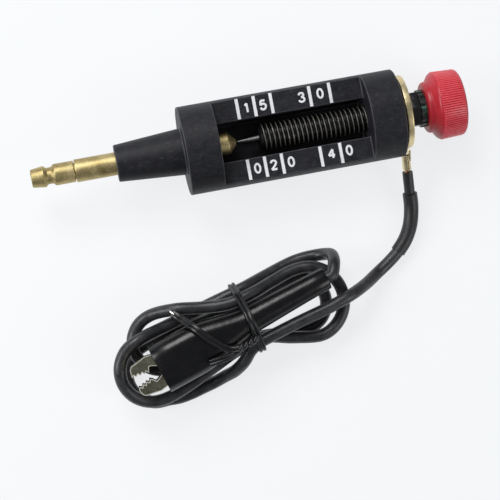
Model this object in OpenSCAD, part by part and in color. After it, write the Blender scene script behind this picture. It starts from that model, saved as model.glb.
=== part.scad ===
// Adjustable spark plug tester: a moulded housing lies on its side with the flat of its window up.
// X runs along the screw, from the plug terminal (-X) to the knob (+X), and Z = 0 is the bench.

/* [Housing] */
// Diameter of the round housing
body_d = 26.5; // [22:0.5:32]
// Length of the round housing, without its nose
body_len = 65.4; // [60:0.2:80]
// Length of the tapered nose
nose_len = 20.2; // [14:0.2:30]
// Diameter of the nose at its free end
nose_tip_d = 11; // [9:0.5:13]
// Diameter of the nose where it meets the housing
nose_root_d = 14; // [12:0.5:18]
// Chamfer on the moulding's outer edges
edge_break = 0.4; // [0.2:0.1:0.8]

/* [Window] */
// Length of the round section left of the flat
neck_len = 10.2; // [8:0.2:14]
// Length of the round section right of the flat, which holds the bush
head_len = 10; // [8:0.2:14]
// Height of the flat above the screw's axis
flat_h = 4.8; // [4:0.2:7]
// Width of the slot along the flat
slot_w = 11.6; // [9.5:0.2:14]
// Depth of the slot below the screw's axis
slot_depth = 6; // [5:0.2:8]

/* [High-voltage rod and plug terminal] */
// Diameter of the brass rod
rod_d = 6.8; // [5:0.1:7.5]
// Bare length of the rod in front of the nose
stem_len = 12.2; // [8:0.2:20]
// How far the rod stands out into the window
electrode_len = 5.8; // [4:0.2:9]
// Length of the electrode's cone
electrode_cone = 2.4; // [1:0.2:3.4]
// Diameter of the electrode's blunt tip
electrode_tip_d = 1.7; // [1:0.1:3]
// Diameter of the stud that carries the terminal nut
stud_d = 4; // [3:0.1:4.2]
// Length of the stud
stud_len = 8; // [6:0.2:8.6]
// Length of the terminal nut
terminal_len = 12.8; // [11:0.2:16]
// Diameter of the terminal nut's barrel
terminal_d = 6.4; // [6:0.1:7]
// Diameter of the terminal nut's free end
terminal_tip_d = 5.3; // [5:0.1:6]
// Length of the terminal nut's head, in front of its groove
terminal_head = 3.9; // [3:0.1:5]
// Width of the snap groove
groove_w = 3; // [2:0.1:3.6]
// Diameter at the bottom of the snap groove
groove_d = 4.9; // [4.6:0.1:5.4]
// Gap between the terminal nut and the rod
terminal_seam = 0.2; // [0.1:0.05:0.4]

/* [Screw and needle] */
// Diameter over the screw's thread
screw_d = 7.9; // [7:0.1:9]
// Chamfer at the screw's front end
screw_chamfer = 0.9; // [0.4:0.1:1.4]
// Diameter of the screw's tail, which carries the knob
tail_d = 6; // [5:0.1:6.5]
// Diameter at the base of the needle's cone
needle_d = 1.8; // [1.4:0.1:3]
// Length of the needle's cone
needle_len = 6.6; // [4:0.2:9]
// Diameter of the needle's point
needle_tip_d = 0.5; // [0.3:0.1:0.9]
// Diameter of the needle's shank
shank_d = 1.4; // [1:0.1:2.5]
// Length of the needle's shank
shank_len = 5; // [3:0.2:8]
// Spark gap with the knob turned fully in
spark_gap = 0.4; // [0.2:0.1:2]

/* [Bush, nut and washer] */
// Thickness of the housing's wall between the window and the bush
window_wall = 2; // [1.2:0.1:3]
// Diameter of the bush's barrel
bush_d = 12.5; // [11:0.1:14]
// Diameter of the bush's flange
flange_d = 22; // [19:0.2:24]
// Thickness of the bush's flange
flange_t = 1.8; // [1.2:0.1:3]
// Gap between the flange and the lock nut with the knob turned in
nut_gap = 0.5; // [0.3:0.1:2]
// Width of the lock nut across its flats
nut_af = 10; // [9:0.1:12]
// Thickness of the lock nut
nut_t = 3.4; // [2.4:0.1:5]
// Outer diameter of the toothed lock washer
washer_d = 11.3; // [10:0.1:13]
// Thickness of the lock washer over its teeth
washer_t = 1.8; // [1:0.1:2.4]
// Number of teeth on the lock washer
washer_teeth = 14; // [10:1:18]

/* [Knob] */
// Diameter of the knob's grip next to its cone
knob_d = 20.8; // [17:0.2:26]
// Diameter of the knob's grip at its free end
knob_end_d = 20.2; // [16:0.2:25]
// Length of the knob's grip
grip_len = 8.3; // [6:0.1:14]
// Length of the cone between the collar and the grip
cone_len = 1.3; // [0.8:0.1:3]
// Diameter of the knob's collar
collar_d = 15.6; // [13:0.2:17]
// Length of the knob's collar
collar_len = 1.7; // [1.4:0.1:4]
// Number of ribs round the grip
knob_ribs = 90; // [60:2:110]
// Depth of the ribs
rib_depth = 0.35; // [0.2:0.05:0.5]
// Plastic left behind the screw's tail
knob_wall = 2.5; // [1.5:0.1:4]

/* [Ground lug and its wire] */
// Thickness of the lug's sheet
lug_t = 0.8; // [0.6:0.1:1.2]
// Outer diameter of the lug's ring
lug_d = 17; // [15.5:0.5:20]
// Width of the lug's neck
lug_neck = 4.4; // [3:0.2:6]
// Angle of the lug below the level
lug_tilt = 20; // [10:1:30]
// Outer diameter of the lug's crimp barrel
barrel_d = 2.6; // [2.4:0.1:3.2]
// Length of the crimp barrel
barrel_len = 3.4; // [2.5:0.1:5]
// Diameter of the bare strands in the barrel
strand_d = 1.6; // [1.2:0.1:1.9]
// Length of bare strands that shows past the barrel
strand_show = 0.8; // [0.4:0.1:2]
// Diameter of the lug's own short wire
lug_wire_d = 3.2; // [2.6:0.1:3.6]
// Length of the lug's own short wire
lug_wire_len = 7; // [5:0.2:9]

/* [Lead] */
// Diameter of the lead
cord_d = 3.8; // [3.4:0.1:3.9]
// Outer diameter of the sleeve over the splice
sleeve_d = 4.5; // [4.3:0.1:5]

/* [Clip] */
// Width over the clip's side plates
clip_w = 6.8; // [6:0.1:7.2]
// Thickness of the clip's sheet
sheet_t = 0.6; // [0.4:0.05:0.7]
// Length of the jaws in front of the boot
jaw_out = 8.3; // [7:0.1:12]
// Half the depth of the closed jaws
jaw_depth = 4.6; // [4:0.1:5.2]
// Angle of each jaw from the clip's axis at rest
open_angle = 10; // [0:1:14]
// Distance of the pivot behind the boot's mouth
pivot_in = 3; // [2.5:0.1:4]
// Diameter of the pivot pin
pin_d = 2; // [1.6:0.1:2.4]
// Pitch of the jaws' teeth
tooth_pitch = 1.3; // [1:0.1:1.6]
// Height of the teeth
tooth_h = 0.7; // [0.4:0.1:1]
// Diameter of the spring's wire
spring_wire = 0.7; // [0.5:0.05:0.8]
// Curls in the clip's spring
spring_curls = 3; // [2:1:3]
// How far the clip's handles stand inside the boot's wall
handle_in = 2.2; // [2:0.1:2.6]
// Length of the crimp on the lead's end
crimp_len = 3.5; // [2.5:0.1:5]
// Width of the strip between the handle and the crimp
crimp_w = 3; // [2:0.1:4]
// Width of the boot's hood
hood_w = 15.2; // [14.6:0.2:18]
// Height of the boot's hood
hood_h = 10; // [9.6:0.2:11]
// Wall of the boot
boot_wall = 1.1; // [0.8:0.1:1.2]
// Length of the boot's hood
hood_len = 13.5; // [12:0.5:18]
// Length of the boot's shoulder
shoulder_len = 14.5; // [12:0.5:20]
// Length of the boot's tail
tail_len = 28.7; // [20:0.1:30]
// Diameter of the boot's waist, behind the shoulder
waist_d = 9.2; // [8.4:0.2:9.6]
// Diameter of the boot's tail end
tail_end_d = 6.9; // [6.2:0.1:8]

/* [Tie] */
// Width of the twist tie
tie_w = 2.3; // [1.6:0.1:3]
// Thickness of the twist tie
tie_t = 0.8; // [0.5:0.05:0.85]

/* [Fits] */
// Radial clearance of a turning or sliding fit
run_fit = 0.05; // [0.02:0.01:0.1]
// Clearance round soft pieces and between pieces that pass each other
soft_fit = 0.2; // [0.1:0.05:0.25]

/* [Hidden] */
$fn = 64;
eps = 0.01;

axis_z = body_d / 2;
knob_len = collar_len + cone_len + grip_len;
front_len = terminal_len + terminal_seam + stem_len + nose_len;
back_len = lug_t + flange_t + nut_gap + nut_t + washer_t + knob_len;
x_tip = -(front_len + body_len + back_len) / 2;
x_rod = x_tip + terminal_len + terminal_seam;
x_nose = x_rod + stem_len;
x_body = x_nose + nose_len;
x_flat = x_body + neck_len;
x_head = x_body + body_len - head_len;
x_end = x_body + body_len;
x_flange = x_end + lug_t;
x_nut = x_flange + flange_t + nut_gap;
x_washer = x_nut + nut_t;
x_knob = x_washer + washer_t;
x_needle = x_flat + electrode_len + spark_gap;
needle_seat = 0.1;
x_screw = x_needle + needle_len + needle_seat;
x_tail = x_knob + knob_len - knob_wall;

barrel_x = x_end + barrel_d / 2;
barrel_r = body_d / 2 + 1.5;
strand_r = barrel_r + barrel_len + strand_show;
lug_wire_r = strand_r + lug_wire_len;
function lug_point(r) = [barrel_x, -r * cos(lug_tilt), axis_z - r * sin(lug_tilt)];

// The tied hank lies on the bench in front of the housing, in a frame of its own.
hank_at = [-13.9, -55.9];
hank_turn = 14.5;
function on_bench(p) = [
    hank_at[0] + p[0] * cos(hank_turn) - p[1] * sin(hank_turn),
    hank_at[1] + p[0] * sin(hank_turn) + p[1] * cos(hank_turn),
    p[2]
];

// Free stretch of the lead: from the splice along the bench, then up over the hank and down to its start.
lead_bench = [
    [46.2, -32, 2.4], [45, -35.2, 2.3], [43, -38.4, 2.3], [40.3, -41.3, 2.3], [36.8, -44, 2.2],
    [32.6, -46.6, 3], [28.6, -48.8, 5.6], [25, -50.3, 8.6]
];
lead_hank = [
    [34.7, -4.7, 10.8], [28, -5.1, 11.3], [18.5, -5.1, 11.5], [9.5, -5.3, 11.7], [4.8, -5.6, 11.7],
    [1.5, -6.7, 11.2], [-1.5, -8.9, 9.9], [-5, -10.5, 6.7], [-8.5, -11, 3.6], [-12.2, -11.4, 1.9]
];
sleeve_points = 5;

// The hank: three loops, each with a left turn, a far run, a right turn and a near run, drawn in at the waist.
loops = 3;
turn_steps = 6;
run_steps = 6;
layer = [1.9, 6.35, 10.8];
waist_u = 4.8;
waist_lift = 1.1;
lift_reach = 12;
left_turn = [[-26.5, -1.2, 9], [-21.4, 6.9, 8.6], [-27.3, 0.7, 9.8]];
left_climb = [[layer[0], layer[0]], [3.4, layer[1]], [layer[1], layer[2]]];
climb_share = [1, 0.42, 0.7];
right_turn = [[22, -1, 8], [24, -1.4, 10.8]];
right_climb = [[layer[0], layer[0]], [layer[1], layer[1]]];
far_waist = [[6.5, layer[0]], [8.6, layer[2]], [11, layer[1]]];
far_climb = [[0, 1], [0, 0.36], [0, 0.32]];
near_waist = [[-4.8, layer[0]], [-4.8, layer[1]]];
hank_start = [-16, -11.4, layer[0]];
// The last run ends in a U-turn that rises into the tail of the clip's boot.
last_run = [24.6, 11.6, layer[0]];
last_turn = [
    [28.8, 11.2, 1.9], [32.4, 10.4, 2.4], [35, 9.6, 4.2], [36.3, 8.8, 6.9], [36, 7.4, 9.9], [34.9, 5.8, 12.2]
];

clip_at = [-25.6, 0.2, 13.6];
clip_turn = 3.3;
boot_len = hood_len + shoulder_len + tail_len;
function in_clip(p) = [
    clip_at[0] + p[0] * cos(clip_turn) - p[1] * sin(clip_turn),
    clip_at[1] + p[0] * sin(clip_turn) + p[1] * cos(clip_turn),
    clip_at[2] + p[2]
];

function unit(v) = v / norm(v);
function mix(a, b, t) = a + (b - a) * t;
function clamp(t) = min(1, max(0, t));
function ease(t) = (1 - cos(180 * clamp(t))) / 2;
function lift(u) = abs(u - waist_u) < lift_reach ? waist_lift * ease(1 - abs(u - waist_u) / lift_reach) : 0;

// A half turn about a centre [u, v, radius]: side -1 is a left turn, near to far; side 1 a right one, far to near.
function turn(c, side, z, share) = [
    for (i = [0 : turn_steps])
        let (a = side * (90 - 180 * i / turn_steps))
        [
            c[0] + side * c[2] * cos(a),
            c[1] + c[2] * sin(a),
            mix(z[0], z[1], ease(i / turn_steps / share))
        ]
];
// A run between two points, drawn in to the waist [v, z]; climb is the share of each half in which z changes.
function run(a, b, waist, climb) = [
    for (i = [1 : run_steps - 1])
        let (
            u = mix(a[0], b[0], i / run_steps),
            first = (u - a[0]) / (waist_u - a[0]),
            second = (u - waist_u) / (b[0] - waist_u),
            before = first < 1,
            v = before ? mix(a[1], waist[0], ease(first)) : mix(waist[0], b[1], ease(second)),
            part = (first - climb[0]) / (climb[1] - climb[0]),
            z = before ? mix(a[2], waist[1], ease(part)) : mix(waist[1], b[2], ease(second))
        )
        [u, v, z + lift(u)]
];
function left(k) = turn(left_turn[k], -1, left_climb[k], climb_share[k]);
function right(k) = turn(right_turn[k], 1, right_climb[k], 1);
function last(p) = p[len(p) - 1];
function far_run(k) = run(last(left(k)), k < loops - 1 ? right(k)[0] : last_run, far_waist[k], far_climb[k]);
function near_run(k) = run(last(right(k)), left(k + 1)[0], near_waist[k], [0, 1]);

hank_in = [hank_start, hank_start - [cord_d, 0, 0], [-23.6, -11, layer[0]]];
hank_loops = [
    for (k = [0 : loops - 1])
        each concat(left(k), far_run(k), k < loops - 1 ? concat(right(k), near_run(k)) : [last_run])
];
hank_out = [for (d = [cord_d / 2, 0]) in_clip([boot_len + d, 0, 0])];
hank_path = concat(hank_in, hank_loops, last_turn, hank_out);
lead_path = concat(
    [for (d = [0, cord_d]) lug_point(lug_wire_r + d)], lead_bench,
    [for (p = concat(lead_hank, [hank_start])) on_bench(p)]
);

// Least gap of the hank's tube to itself, on points along its path, apart from stretches that follow each other.
fine = 4;
function dense(p) = [for (i = [0 : len(p) - 2], j = [0 : fine - 1]) mix(p[i], p[i + 1], j / fine)];
function travelled(p) = [
    for (i = 0, s = 0; i < len(p); i = i + 1, s = i < len(p) ? s + norm(p[i] - p[i - 1]) : s) s
];
function self_gap(p, apart) =
    let (s = travelled(p))
    min([for (i = [0 : len(p) - 1], j = [i + 1 : 1 : len(p) - 1]) if (s[j] - s[i] > apart) norm(p[i] - p[j])]);
function path_len(p) = last(travelled(p));
echo(hank_gap_mm = self_gap(dense(hank_path), 4 * cord_d) - cord_d);
echo(lead_mm = path_len(lead_path), hank_mm = path_len(hank_path));

// Rings along a path, kept from twisting, and the closed tube or pipe that they carry.
function along(p, i) = unit(p[min(i + 1, len(p) - 1)] - p[max(i - 1, 0)]);
function square_to(n, t) = unit(n - (n * t) * t);
function normals(p, start) = [
    for (
        i = 0, n = square_to(start, along(p, 0));
        i < len(p);
        i = i + 1, n = i < len(p) ? square_to(n, along(p, i)) : n
    ) n
];
function rings(p, r, sides, start, flat = 1) =
    let (n = normals(p, start))
    [
        for (i = [0 : len(p) - 1], j = [0 : sides - 1])
            let (a = 360 * j / sides)
            p[i] + r * (cos(a) * n[i] + flat * sin(a) * cross(along(p, i), n[i]))
    ];
function wall(count, sides, base) = [
    for (i = [0 : count - 2], j = [0 : sides - 1])
        let (
            k = (j + 1) % sides,
            a = base + i * sides + j,
            b = base + (i + 1) * sides + j,
            c = base + (i + 1) * sides + k,
            d = base + i * sides + k
        )
        each [[a, b, c], [a, c, d]]
];
function flipped(faces) = [for (f = faces) [f[0], f[2], f[1]]];
module tube(p, r, sides, start = [0, 0, 1], flat = 1) {
    end = (len(p) - 1) * sides;
    caps = [for (j = [1 : sides - 2]) each [[0, j, j + 1], [end, end + j + 1, end + j]]];
    polyhedron(rings(p, r, sides, start, flat), concat(wall(len(p), sides, 0), caps));
}
module pipe(p, r, bore, sides, start = [0, 0, 1]) {
    count = len(p) * sides;
    end = count - sides;
    rims = [
        for (j = [0 : sides - 1])
            let (k = (j + 1) % sides)
            each [
                [j, k, count + k], [j, count + k, count + j],
                [end + j, count + end + k, end + k], [end + j, count + end + j, count + end + k]
            ]
    ];
    polyhedron(
        concat(rings(p, r, sides, start), rings(p, bore, sides, start)),
        concat(wall(len(p), sides, 0), flipped(wall(len(p), sides, count)), rims)
    );
}

module on_axis(x) {
    translate([x, 0, axis_z])
        rotate([0, 90, 0])
            children();
}
module on_lug() {
    translate([x_end, 0, axis_z])
        rotate([90 + lug_tilt, 0, 0])
            children();
}
module on_hank() {
    translate([hank_at[0], hank_at[1], 0])
        rotate([0, 0, hank_turn])
            children();
}
module in_clip_frame() {
    on_hank()
        translate(clip_at)
            rotate([0, 0, clip_turn])
                children();
}

// One moulding: the tapered nose, the round barrel, the flat with its slot, and the two bores on the axis.
module housing() {
    color("#26262b")
    difference() {
        on_axis(x_body)
            rotate_extrude()
                polygon([
                    [0, -nose_len], [nose_tip_d / 2 - edge_break, -nose_len],
                    [nose_tip_d / 2, edge_break - nose_len], [nose_root_d / 2, 0],
                    [body_d / 2 - edge_break, 0], [body_d / 2, edge_break],
                    [body_d / 2, body_len - edge_break], [body_d / 2 - edge_break, body_len], [0, body_len]
                ]);
        translate([x_flat, -body_d, axis_z + flat_h])
            cube([x_head - x_flat, 2 * body_d, body_d]);
        translate([x_flat, -slot_w / 2, axis_z - slot_depth])
            cube([x_head - x_flat, slot_w, body_d]);
        on_axis(x_nose - 1)
            cylinder(d = rod_d, h = nose_len + neck_len + 2);
        on_axis(x_head - 1)
            cylinder(d = screw_d + 2 * soft_fit, h = head_len + 2);
        on_axis(x_head + window_wall)
            cylinder(d = bush_d, h = head_len);
    }
}

// Brass rod through the nose: a stud for the terminal nut at one end, the blunt electrode at the other.
module hv_rod() {
    rod_len = x_flat + electrode_len - x_rod;
    stud_tip = -terminal_seam - stud_len;
    color("#c9a24e")
    on_axis(x_rod)
        rotate_extrude()
            polygon([
                [0, stud_tip], [stud_d / 2, stud_tip], [stud_d / 2, 0], [rod_d / 2, 0],
                [rod_d / 2, rod_len - electrode_cone], [electrode_tip_d / 2, rod_len], [0, rod_len]
            ]);
}

// Screwed-on plug terminal with its snap groove.
module terminal_nut() {
    groove_end = terminal_head + groove_w;
    flank = (terminal_d - groove_d) / 2;
    color("#cfa955")
    on_axis(x_tip)
        difference() {
            rotate_extrude()
                polygon([
                    [0, 0], [terminal_tip_d / 2, 0], [terminal_d / 2, terminal_head],
                    [groove_d / 2, terminal_head + flank], [groove_d / 2, groove_end - flank],
                    [terminal_d / 2, groove_end], [terminal_d / 2, terminal_len], [0, terminal_len]
                ]);
            translate([0, 0, terminal_len - stud_len])
                cylinder(d = stud_d, h = stud_len + 1);
        }
}

// Bare steel needle whose shank sits in the end of the screw.
module needle() {
    color("#b9b9b6")
    on_axis(x_needle) {
        cylinder(d1 = needle_tip_d, d2 = needle_d, h = needle_len);
        translate([0, 0, needle_len - eps])
            cylinder(d = shank_d, h = shank_len + eps);
    }
}

// Adjusting screw: chamfered front, plain over the thread, with a thinner tail for the nut and the knob.
module adjusting_screw() {
    thread_len = x_nut - x_screw;
    color("#1f1f21")
    on_axis(x_screw)
        difference() {
            rotate_extrude()
                polygon([
                    [0, 0], [screw_d / 2 - screw_chamfer, 0], [screw_d / 2, screw_chamfer],
                    [screw_d / 2, thread_len], [tail_d / 2, thread_len],
                    [tail_d / 2, x_tail - x_screw], [0, x_tail - x_screw]
                ]);
            translate([0, 0, -1])
                cylinder(d = shank_d + 2 * run_fit, h = shank_len + 1);
        }
}

// Brass bush that guides the screw; its flange clamps the lug against the housing.
module threaded_bush() {
    barrel = head_len - window_wall + lug_t;
    color("#d8b465")
    on_axis(x_head + window_wall)
        difference() {
            union() {
                cylinder(d = bush_d, h = barrel + eps);
                translate([0, 0, barrel])
                    cylinder(d = flange_d, h = flange_t);
            }
            translate([0, 0, -1])
                cylinder(d = screw_d + 2 * run_fit, h = barrel + flange_t + 2);
        }
}

// Hexagon nut, chamfered on the side that faces the flange.
module lock_nut() {
    corner_d = nut_af / cos(30);
    color("#1b1b1d")
    on_axis(x_nut)
        difference() {
            intersection() {
                cylinder(d = corner_d, h = nut_t, $fn = 6);
                cylinder(d1 = nut_af * 0.94, d2 = nut_af * 0.94 + 4 * nut_t, h = nut_t);
            }
            translate([0, 0, -1])
                cylinder(d = tail_d, h = nut_t + 2);
        }
}

// Toothed lock washer between the nut and the knob.
module lock_washer() {
    notch = 0.45 * PI * washer_d / washer_teeth;
    color("#2a302c")
    on_axis(x_washer)
        linear_extrude(washer_t)
            difference() {
                circle(d = washer_d);
                circle(d = tail_d);
                for (i = [0 : washer_teeth - 1])
                    rotate(360 * i / washer_teeth)
                        translate([(washer_d + nut_af) / 4, -notch / 2])
                            square([washer_d, notch]);
            }
}

// Moulded knob: a collar, a cone and a grip that tapers to its rounded end, with grooves between its ribs.
module knob() {
    grip_at = collar_len + cone_len;
    rim = 0.5;
    end_round = 0.8;
    groove = 0.6 * PI * knob_d / knob_ribs;
    taper = atan((knob_d - knob_end_d) / 2 / (grip_len - rim - end_round));
    color("#c62836")
    on_axis(x_knob)
        difference() {
            rotate_extrude()
                polygon([
                    [0, 0], [collar_d / 2 - 1.2, 0], [collar_d / 2 - 0.35, 0.35], [collar_d / 2, 1.2],
                    [collar_d / 2, collar_len], [knob_d / 2 - rim, grip_at], [knob_d / 2, grip_at + rim],
                    [knob_end_d / 2, knob_len - end_round],
                    [knob_end_d / 2 - 0.3 * end_round, knob_len - 0.3 * end_round],
                    [knob_end_d / 2 - end_round, knob_len], [0, knob_len]
                ]);
            for (i = [0 : knob_ribs - 1])
                rotate(360 * i / knob_ribs)
                    translate([knob_d / 2, 0, grip_at + 2 * rim])
                        rotate([0, -taper, 0])
                            linear_extrude(grip_len)
                                polygon([[-rib_depth, 0], [rib_depth, -groove], [rib_depth, groove]]);
            translate([0, 0, -1])
                cylinder(d = tail_d, h = knob_len - knob_wall + 1);
        }
}

// Stamped ring lug under the flange, with a neck and a rolled crimp barrel.
module ground_lug() {
    color("#d2ad5c")
    difference() {
        union() {
            on_axis(x_end)
                cylinder(d = lug_d, h = lug_t);
            on_lug()
                translate([0, -lug_neck / 2, 0])
                    cube([lug_t, lug_neck, barrel_r + eps]);
            on_lug()
                translate([barrel_d / 2, 0, barrel_r])
                    cylinder(d = barrel_d, h = barrel_len);
        }
        on_axis(x_end - 1)
            cylinder(d = bush_d, h = lug_t + 2);
        on_lug()
            translate([barrel_d / 2, 0, barrel_r + barrel_len / 4])
                cylinder(d = strand_d, h = barrel_len);
    }
}

// Bare strands crimped in the lug's barrel.
module wire_strands() {
    color("#c98f5a")
    on_lug()
        translate([barrel_d / 2, 0, barrel_r + barrel_len / 4])
            cylinder(d = strand_d, h = 0.75 * barrel_len + strand_show);
}

// The lug's own short wire, up to the splice.
module lug_wire() {
    color("#2b2b2f")
    on_lug()
        translate([barrel_d / 2, 0, strand_r])
            cylinder(d = lug_wire_d, h = lug_wire_len);
}

// Shrunk sleeve over the splice between the short wire and the lead.
module splice_sleeve() {
    color("#29292d")
    pipe([for (i = [0 : sleeve_points]) lead_path[i]], sleeve_d / 2, cord_d / 2, 8);
}

// Free stretch of the lead, from the splice to the hank.
module lead_cord() {
    color("#2e2e33")
    tube(lead_path, cord_d / 2, 8);
}

// The tied hank, from the end of the free stretch to the boot's tail.
module cord_hank() {
    color("#303036")
    on_hank()
        tube(hank_path, cord_d / 2, 6);
}

// The lead's end inside the boot, up to the crimp on the clip.
crimp_at = hood_len + shoulder_len - 4;
crimp_start = crimp_at - crimp_len;
module clip_wire() {
    color("#2c2c31")
    in_clip_frame()
        translate([crimp_start, 0, 0])
            rotate([0, 90, 0])
                cylinder(d = cord_d, h = boot_len - crimp_start);
}

// Soft boot: a wide hood over the clip's handles, a shoulder and a long tail on the lead.
corner_steps = 6;
function boot_ring(at, w, h, corner) = [
    for (q = [0 : 3], i = [0 : corner_steps])
        let (
            a = 90 * q + 90 * i / corner_steps,
            side = q == 0 || q == 3 ? 1 : -1,
            top = q < 2 ? 1 : -1
        )
        [at, side * (w / 2 - corner) + corner * cos(a), top * (h / 2 - corner) + corner * sin(a)]
];
module boot_form(wall_t, start, end) {
    corner = 3.4 - wall_t;
    sides = 4 * (corner_steps + 1);
    hood = [hood_w - 2 * wall_t, hood_h - 2 * wall_t];
    waist = waist_d - 2 * wall_t;
    points = concat(
        boot_ring(start, hood[0], hood[1], corner),
        boot_ring(hood_len, hood[0], hood[1], corner),
        boot_ring(end, waist, waist, corner)
    );
    caps = [for (j = [1 : sides - 2]) each [[0, j, j + 1], [2 * sides, 2 * sides + j + 1, 2 * sides + j]]];
    polyhedron(points, concat(wall(3, sides, 0), caps));
}
module clip_boot() {
    shoulder_end = hood_len + shoulder_len;
    color("#232327")
    in_clip_frame()
        difference() {
            union() {
                boot_form(0, 0, shoulder_end);
                translate([shoulder_end - eps, 0, 0])
                    rotate([0, 90, 0])
                        cylinder(d1 = waist_d - 0.4, d2 = tail_end_d, h = tail_len + eps);
            }
            boot_form(boot_wall, -1, crimp_at);
            translate([crimp_at - 1, 0, 0])
                rotate([0, 90, 0])
                    cylinder(d = cord_d, h = boot_len);
        }
}

// The jaws' outlines in the plane of their motion: side -1 is the fixed jaw, side 1 the moving one.
teeth = 4;
nose_round = 1.6;
function tooth_line(side) = [
    for (i = [0 : 2 * teeth])
        let (crest = (i + (side > 0 ? 1 : 0)) % 2)
        [-jaw_out + i * tooth_pitch / 2, side * soft_fit / 4 - side * tooth_h * (crest - 0.5)]
];
function throat(side) = -jaw_out + teeth * tooth_pitch;
function jaw_outline(side) = concat(
    tooth_line(side),
    [
        [throat(side) + 0.5, side * 1.4], [throat(side) + 1.2, side * 1.4], [0, side * 0.8],
        [pivot_in, side * 0.5], [pivot_in + 3, side * 1.6], [pivot_in + 4.5, side * jaw_depth]
    ],
    [[throat(side), side * jaw_depth]],
    [
        for (a = [60, 30, 0])
            [
                -jaw_out + nose_round - nose_round * cos(a),
                side * (jaw_depth - 1.4 - nose_round + nose_round * sin(a))
            ]
    ]
);
module jaw_plates(side, outer) {
    for (z = [outer - sheet_t, -outer])
        translate([0, 0, z])
            linear_extrude(sheet_t)
                union() {
                    polygon(jaw_outline(side));
                    translate([pivot_in, 0])
                        circle(r = pin_d);
                }
}
handle_out = hood_w / 2 - boot_wall - handle_in;
// A point of a jaw, turned about the pivot by the angle at which the clip stands open.
function opened(p, side) =
    let (
        a = -side * open_angle,
        d = p - [pivot_in, 0]
    )
    [pivot_in + d[0] * cos(a) - d[1] * sin(a), d[0] * sin(a) + d[1] * cos(a)];
// A jaw is one bent sheet: two toothed side plates, the web that joins them, and a handle behind the pivot.
module jaw_sheet(side, outer) {
    handle = hood_len - 1;
    jaw_plates(side, outer);
    translate([0, 0, -outer])
        linear_extrude(2 * outer)
            difference() {
                polygon(jaw_outline(side));
                translate([sheet_t, -side * sheet_t])
                    polygon(jaw_outline(side));
                translate([-jaw_out - 1, -jaw_depth + (side > 0 ? -1 : 1) * (jaw_depth - 1.2)])
                    square([jaw_out + hood_len, 2 * jaw_depth]);
                translate([throat(side), -side * (jaw_depth + sheet_t) / 2 - jaw_depth / 2])
                    square([hood_len, jaw_depth]);
            }
    translate([0, 0, -outer])
        linear_extrude(2 * outer)
            polygon([
                [pivot_in + 2, side * jaw_depth], [hood_len - 4, side * handle_out], [handle, side * handle_out],
                [handle, side * (handle_out - sheet_t)], [hood_len - 4, side * (handle_out - sheet_t)],
                [pivot_in + 2, side * (jaw_depth - sheet_t)]
            ]);
}
module jaw(side, outer, bore) {
    translate([pivot_in, 0, 0])
        rotate(-side * open_angle)
            difference() {
                translate([-pivot_in, 0, 0])
                    jaw_sheet(side, outer);
                translate([0, 0, -outer - 1])
                    cylinder(d = bore, h = 2 * outer + 2);
            }
}
// The fixed jaw's handle runs on as a strip that is rolled round the lead's end.
module wire_crimp() {
    difference() {
        union() {
            translate([crimp_start, 0, 0])
                rotate([0, 90, 0])
                    cylinder(d = cord_d + 2 * sheet_t, h = crimp_len - soft_fit);
            translate([0, 0, -crimp_w / 2])
                linear_extrude(crimp_w)
                    polygon([
                        opened([hood_len - 2, -handle_out], -1), [crimp_start + sheet_t, -cord_d / 2 - sheet_t],
                        [crimp_start + sheet_t, -cord_d / 2], opened([hood_len - 2, sheet_t - handle_out], -1)
                    ]);
        }
        translate([crimp_start - 1, 0, 0])
            rotate([0, 90, 0])
                cylinder(d = cord_d, h = crimp_len + 2);
    }
}
module clip_fixed_jaw() {
    color("#8f8c78")
    in_clip_frame() {
        jaw(-1, clip_w / 2, pin_d);
        wire_crimp();
    }
}
module clip_moving_jaw() {
    color("#94917d")
    in_clip_frame()
        jaw(1, clip_w / 2 - sheet_t - soft_fit / 2, pin_d + 2 * run_fit);
}

// Rivet through both jaws.
module clip_pin() {
    color("#a5a396")
    in_clip_frame()
        translate([pivot_in, 0, -clip_w / 2])
            cylinder(d = pin_d, h = clip_w);
}

// Torsion spring round the pin, with one leg on each handle.
module clip_spring() {
    coil_r = pin_d / 2 + spring_wire / 2 + 0.4;
    step = spring_wire + 0.3;
    leg = hood_len - pivot_in - 4;
    leg_out = handle_out - sheet_t - spring_wire / 2;
    legs_at = spring_curls * step / 2;
    sweep = 360 * spring_curls + 180;
    path = concat(
        [[each opened([pivot_in + leg, -leg_out], -1), -legs_at]],
        [
            for (i = [0 : spring_curls * 8 + 4])
                let (a = -90 - sweep * i / (spring_curls * 8 + 4))
                [pivot_in + coil_r * cos(a), coil_r * sin(a), mix(-legs_at, legs_at, i / (spring_curls * 8 + 4))]
        ],
        [[each opened([pivot_in + leg, leg_out], 1), legs_at]]
    );
    color("#9c9a90")
    in_clip_frame()
        tube(path, spring_wire / 2, 6);
}

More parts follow.
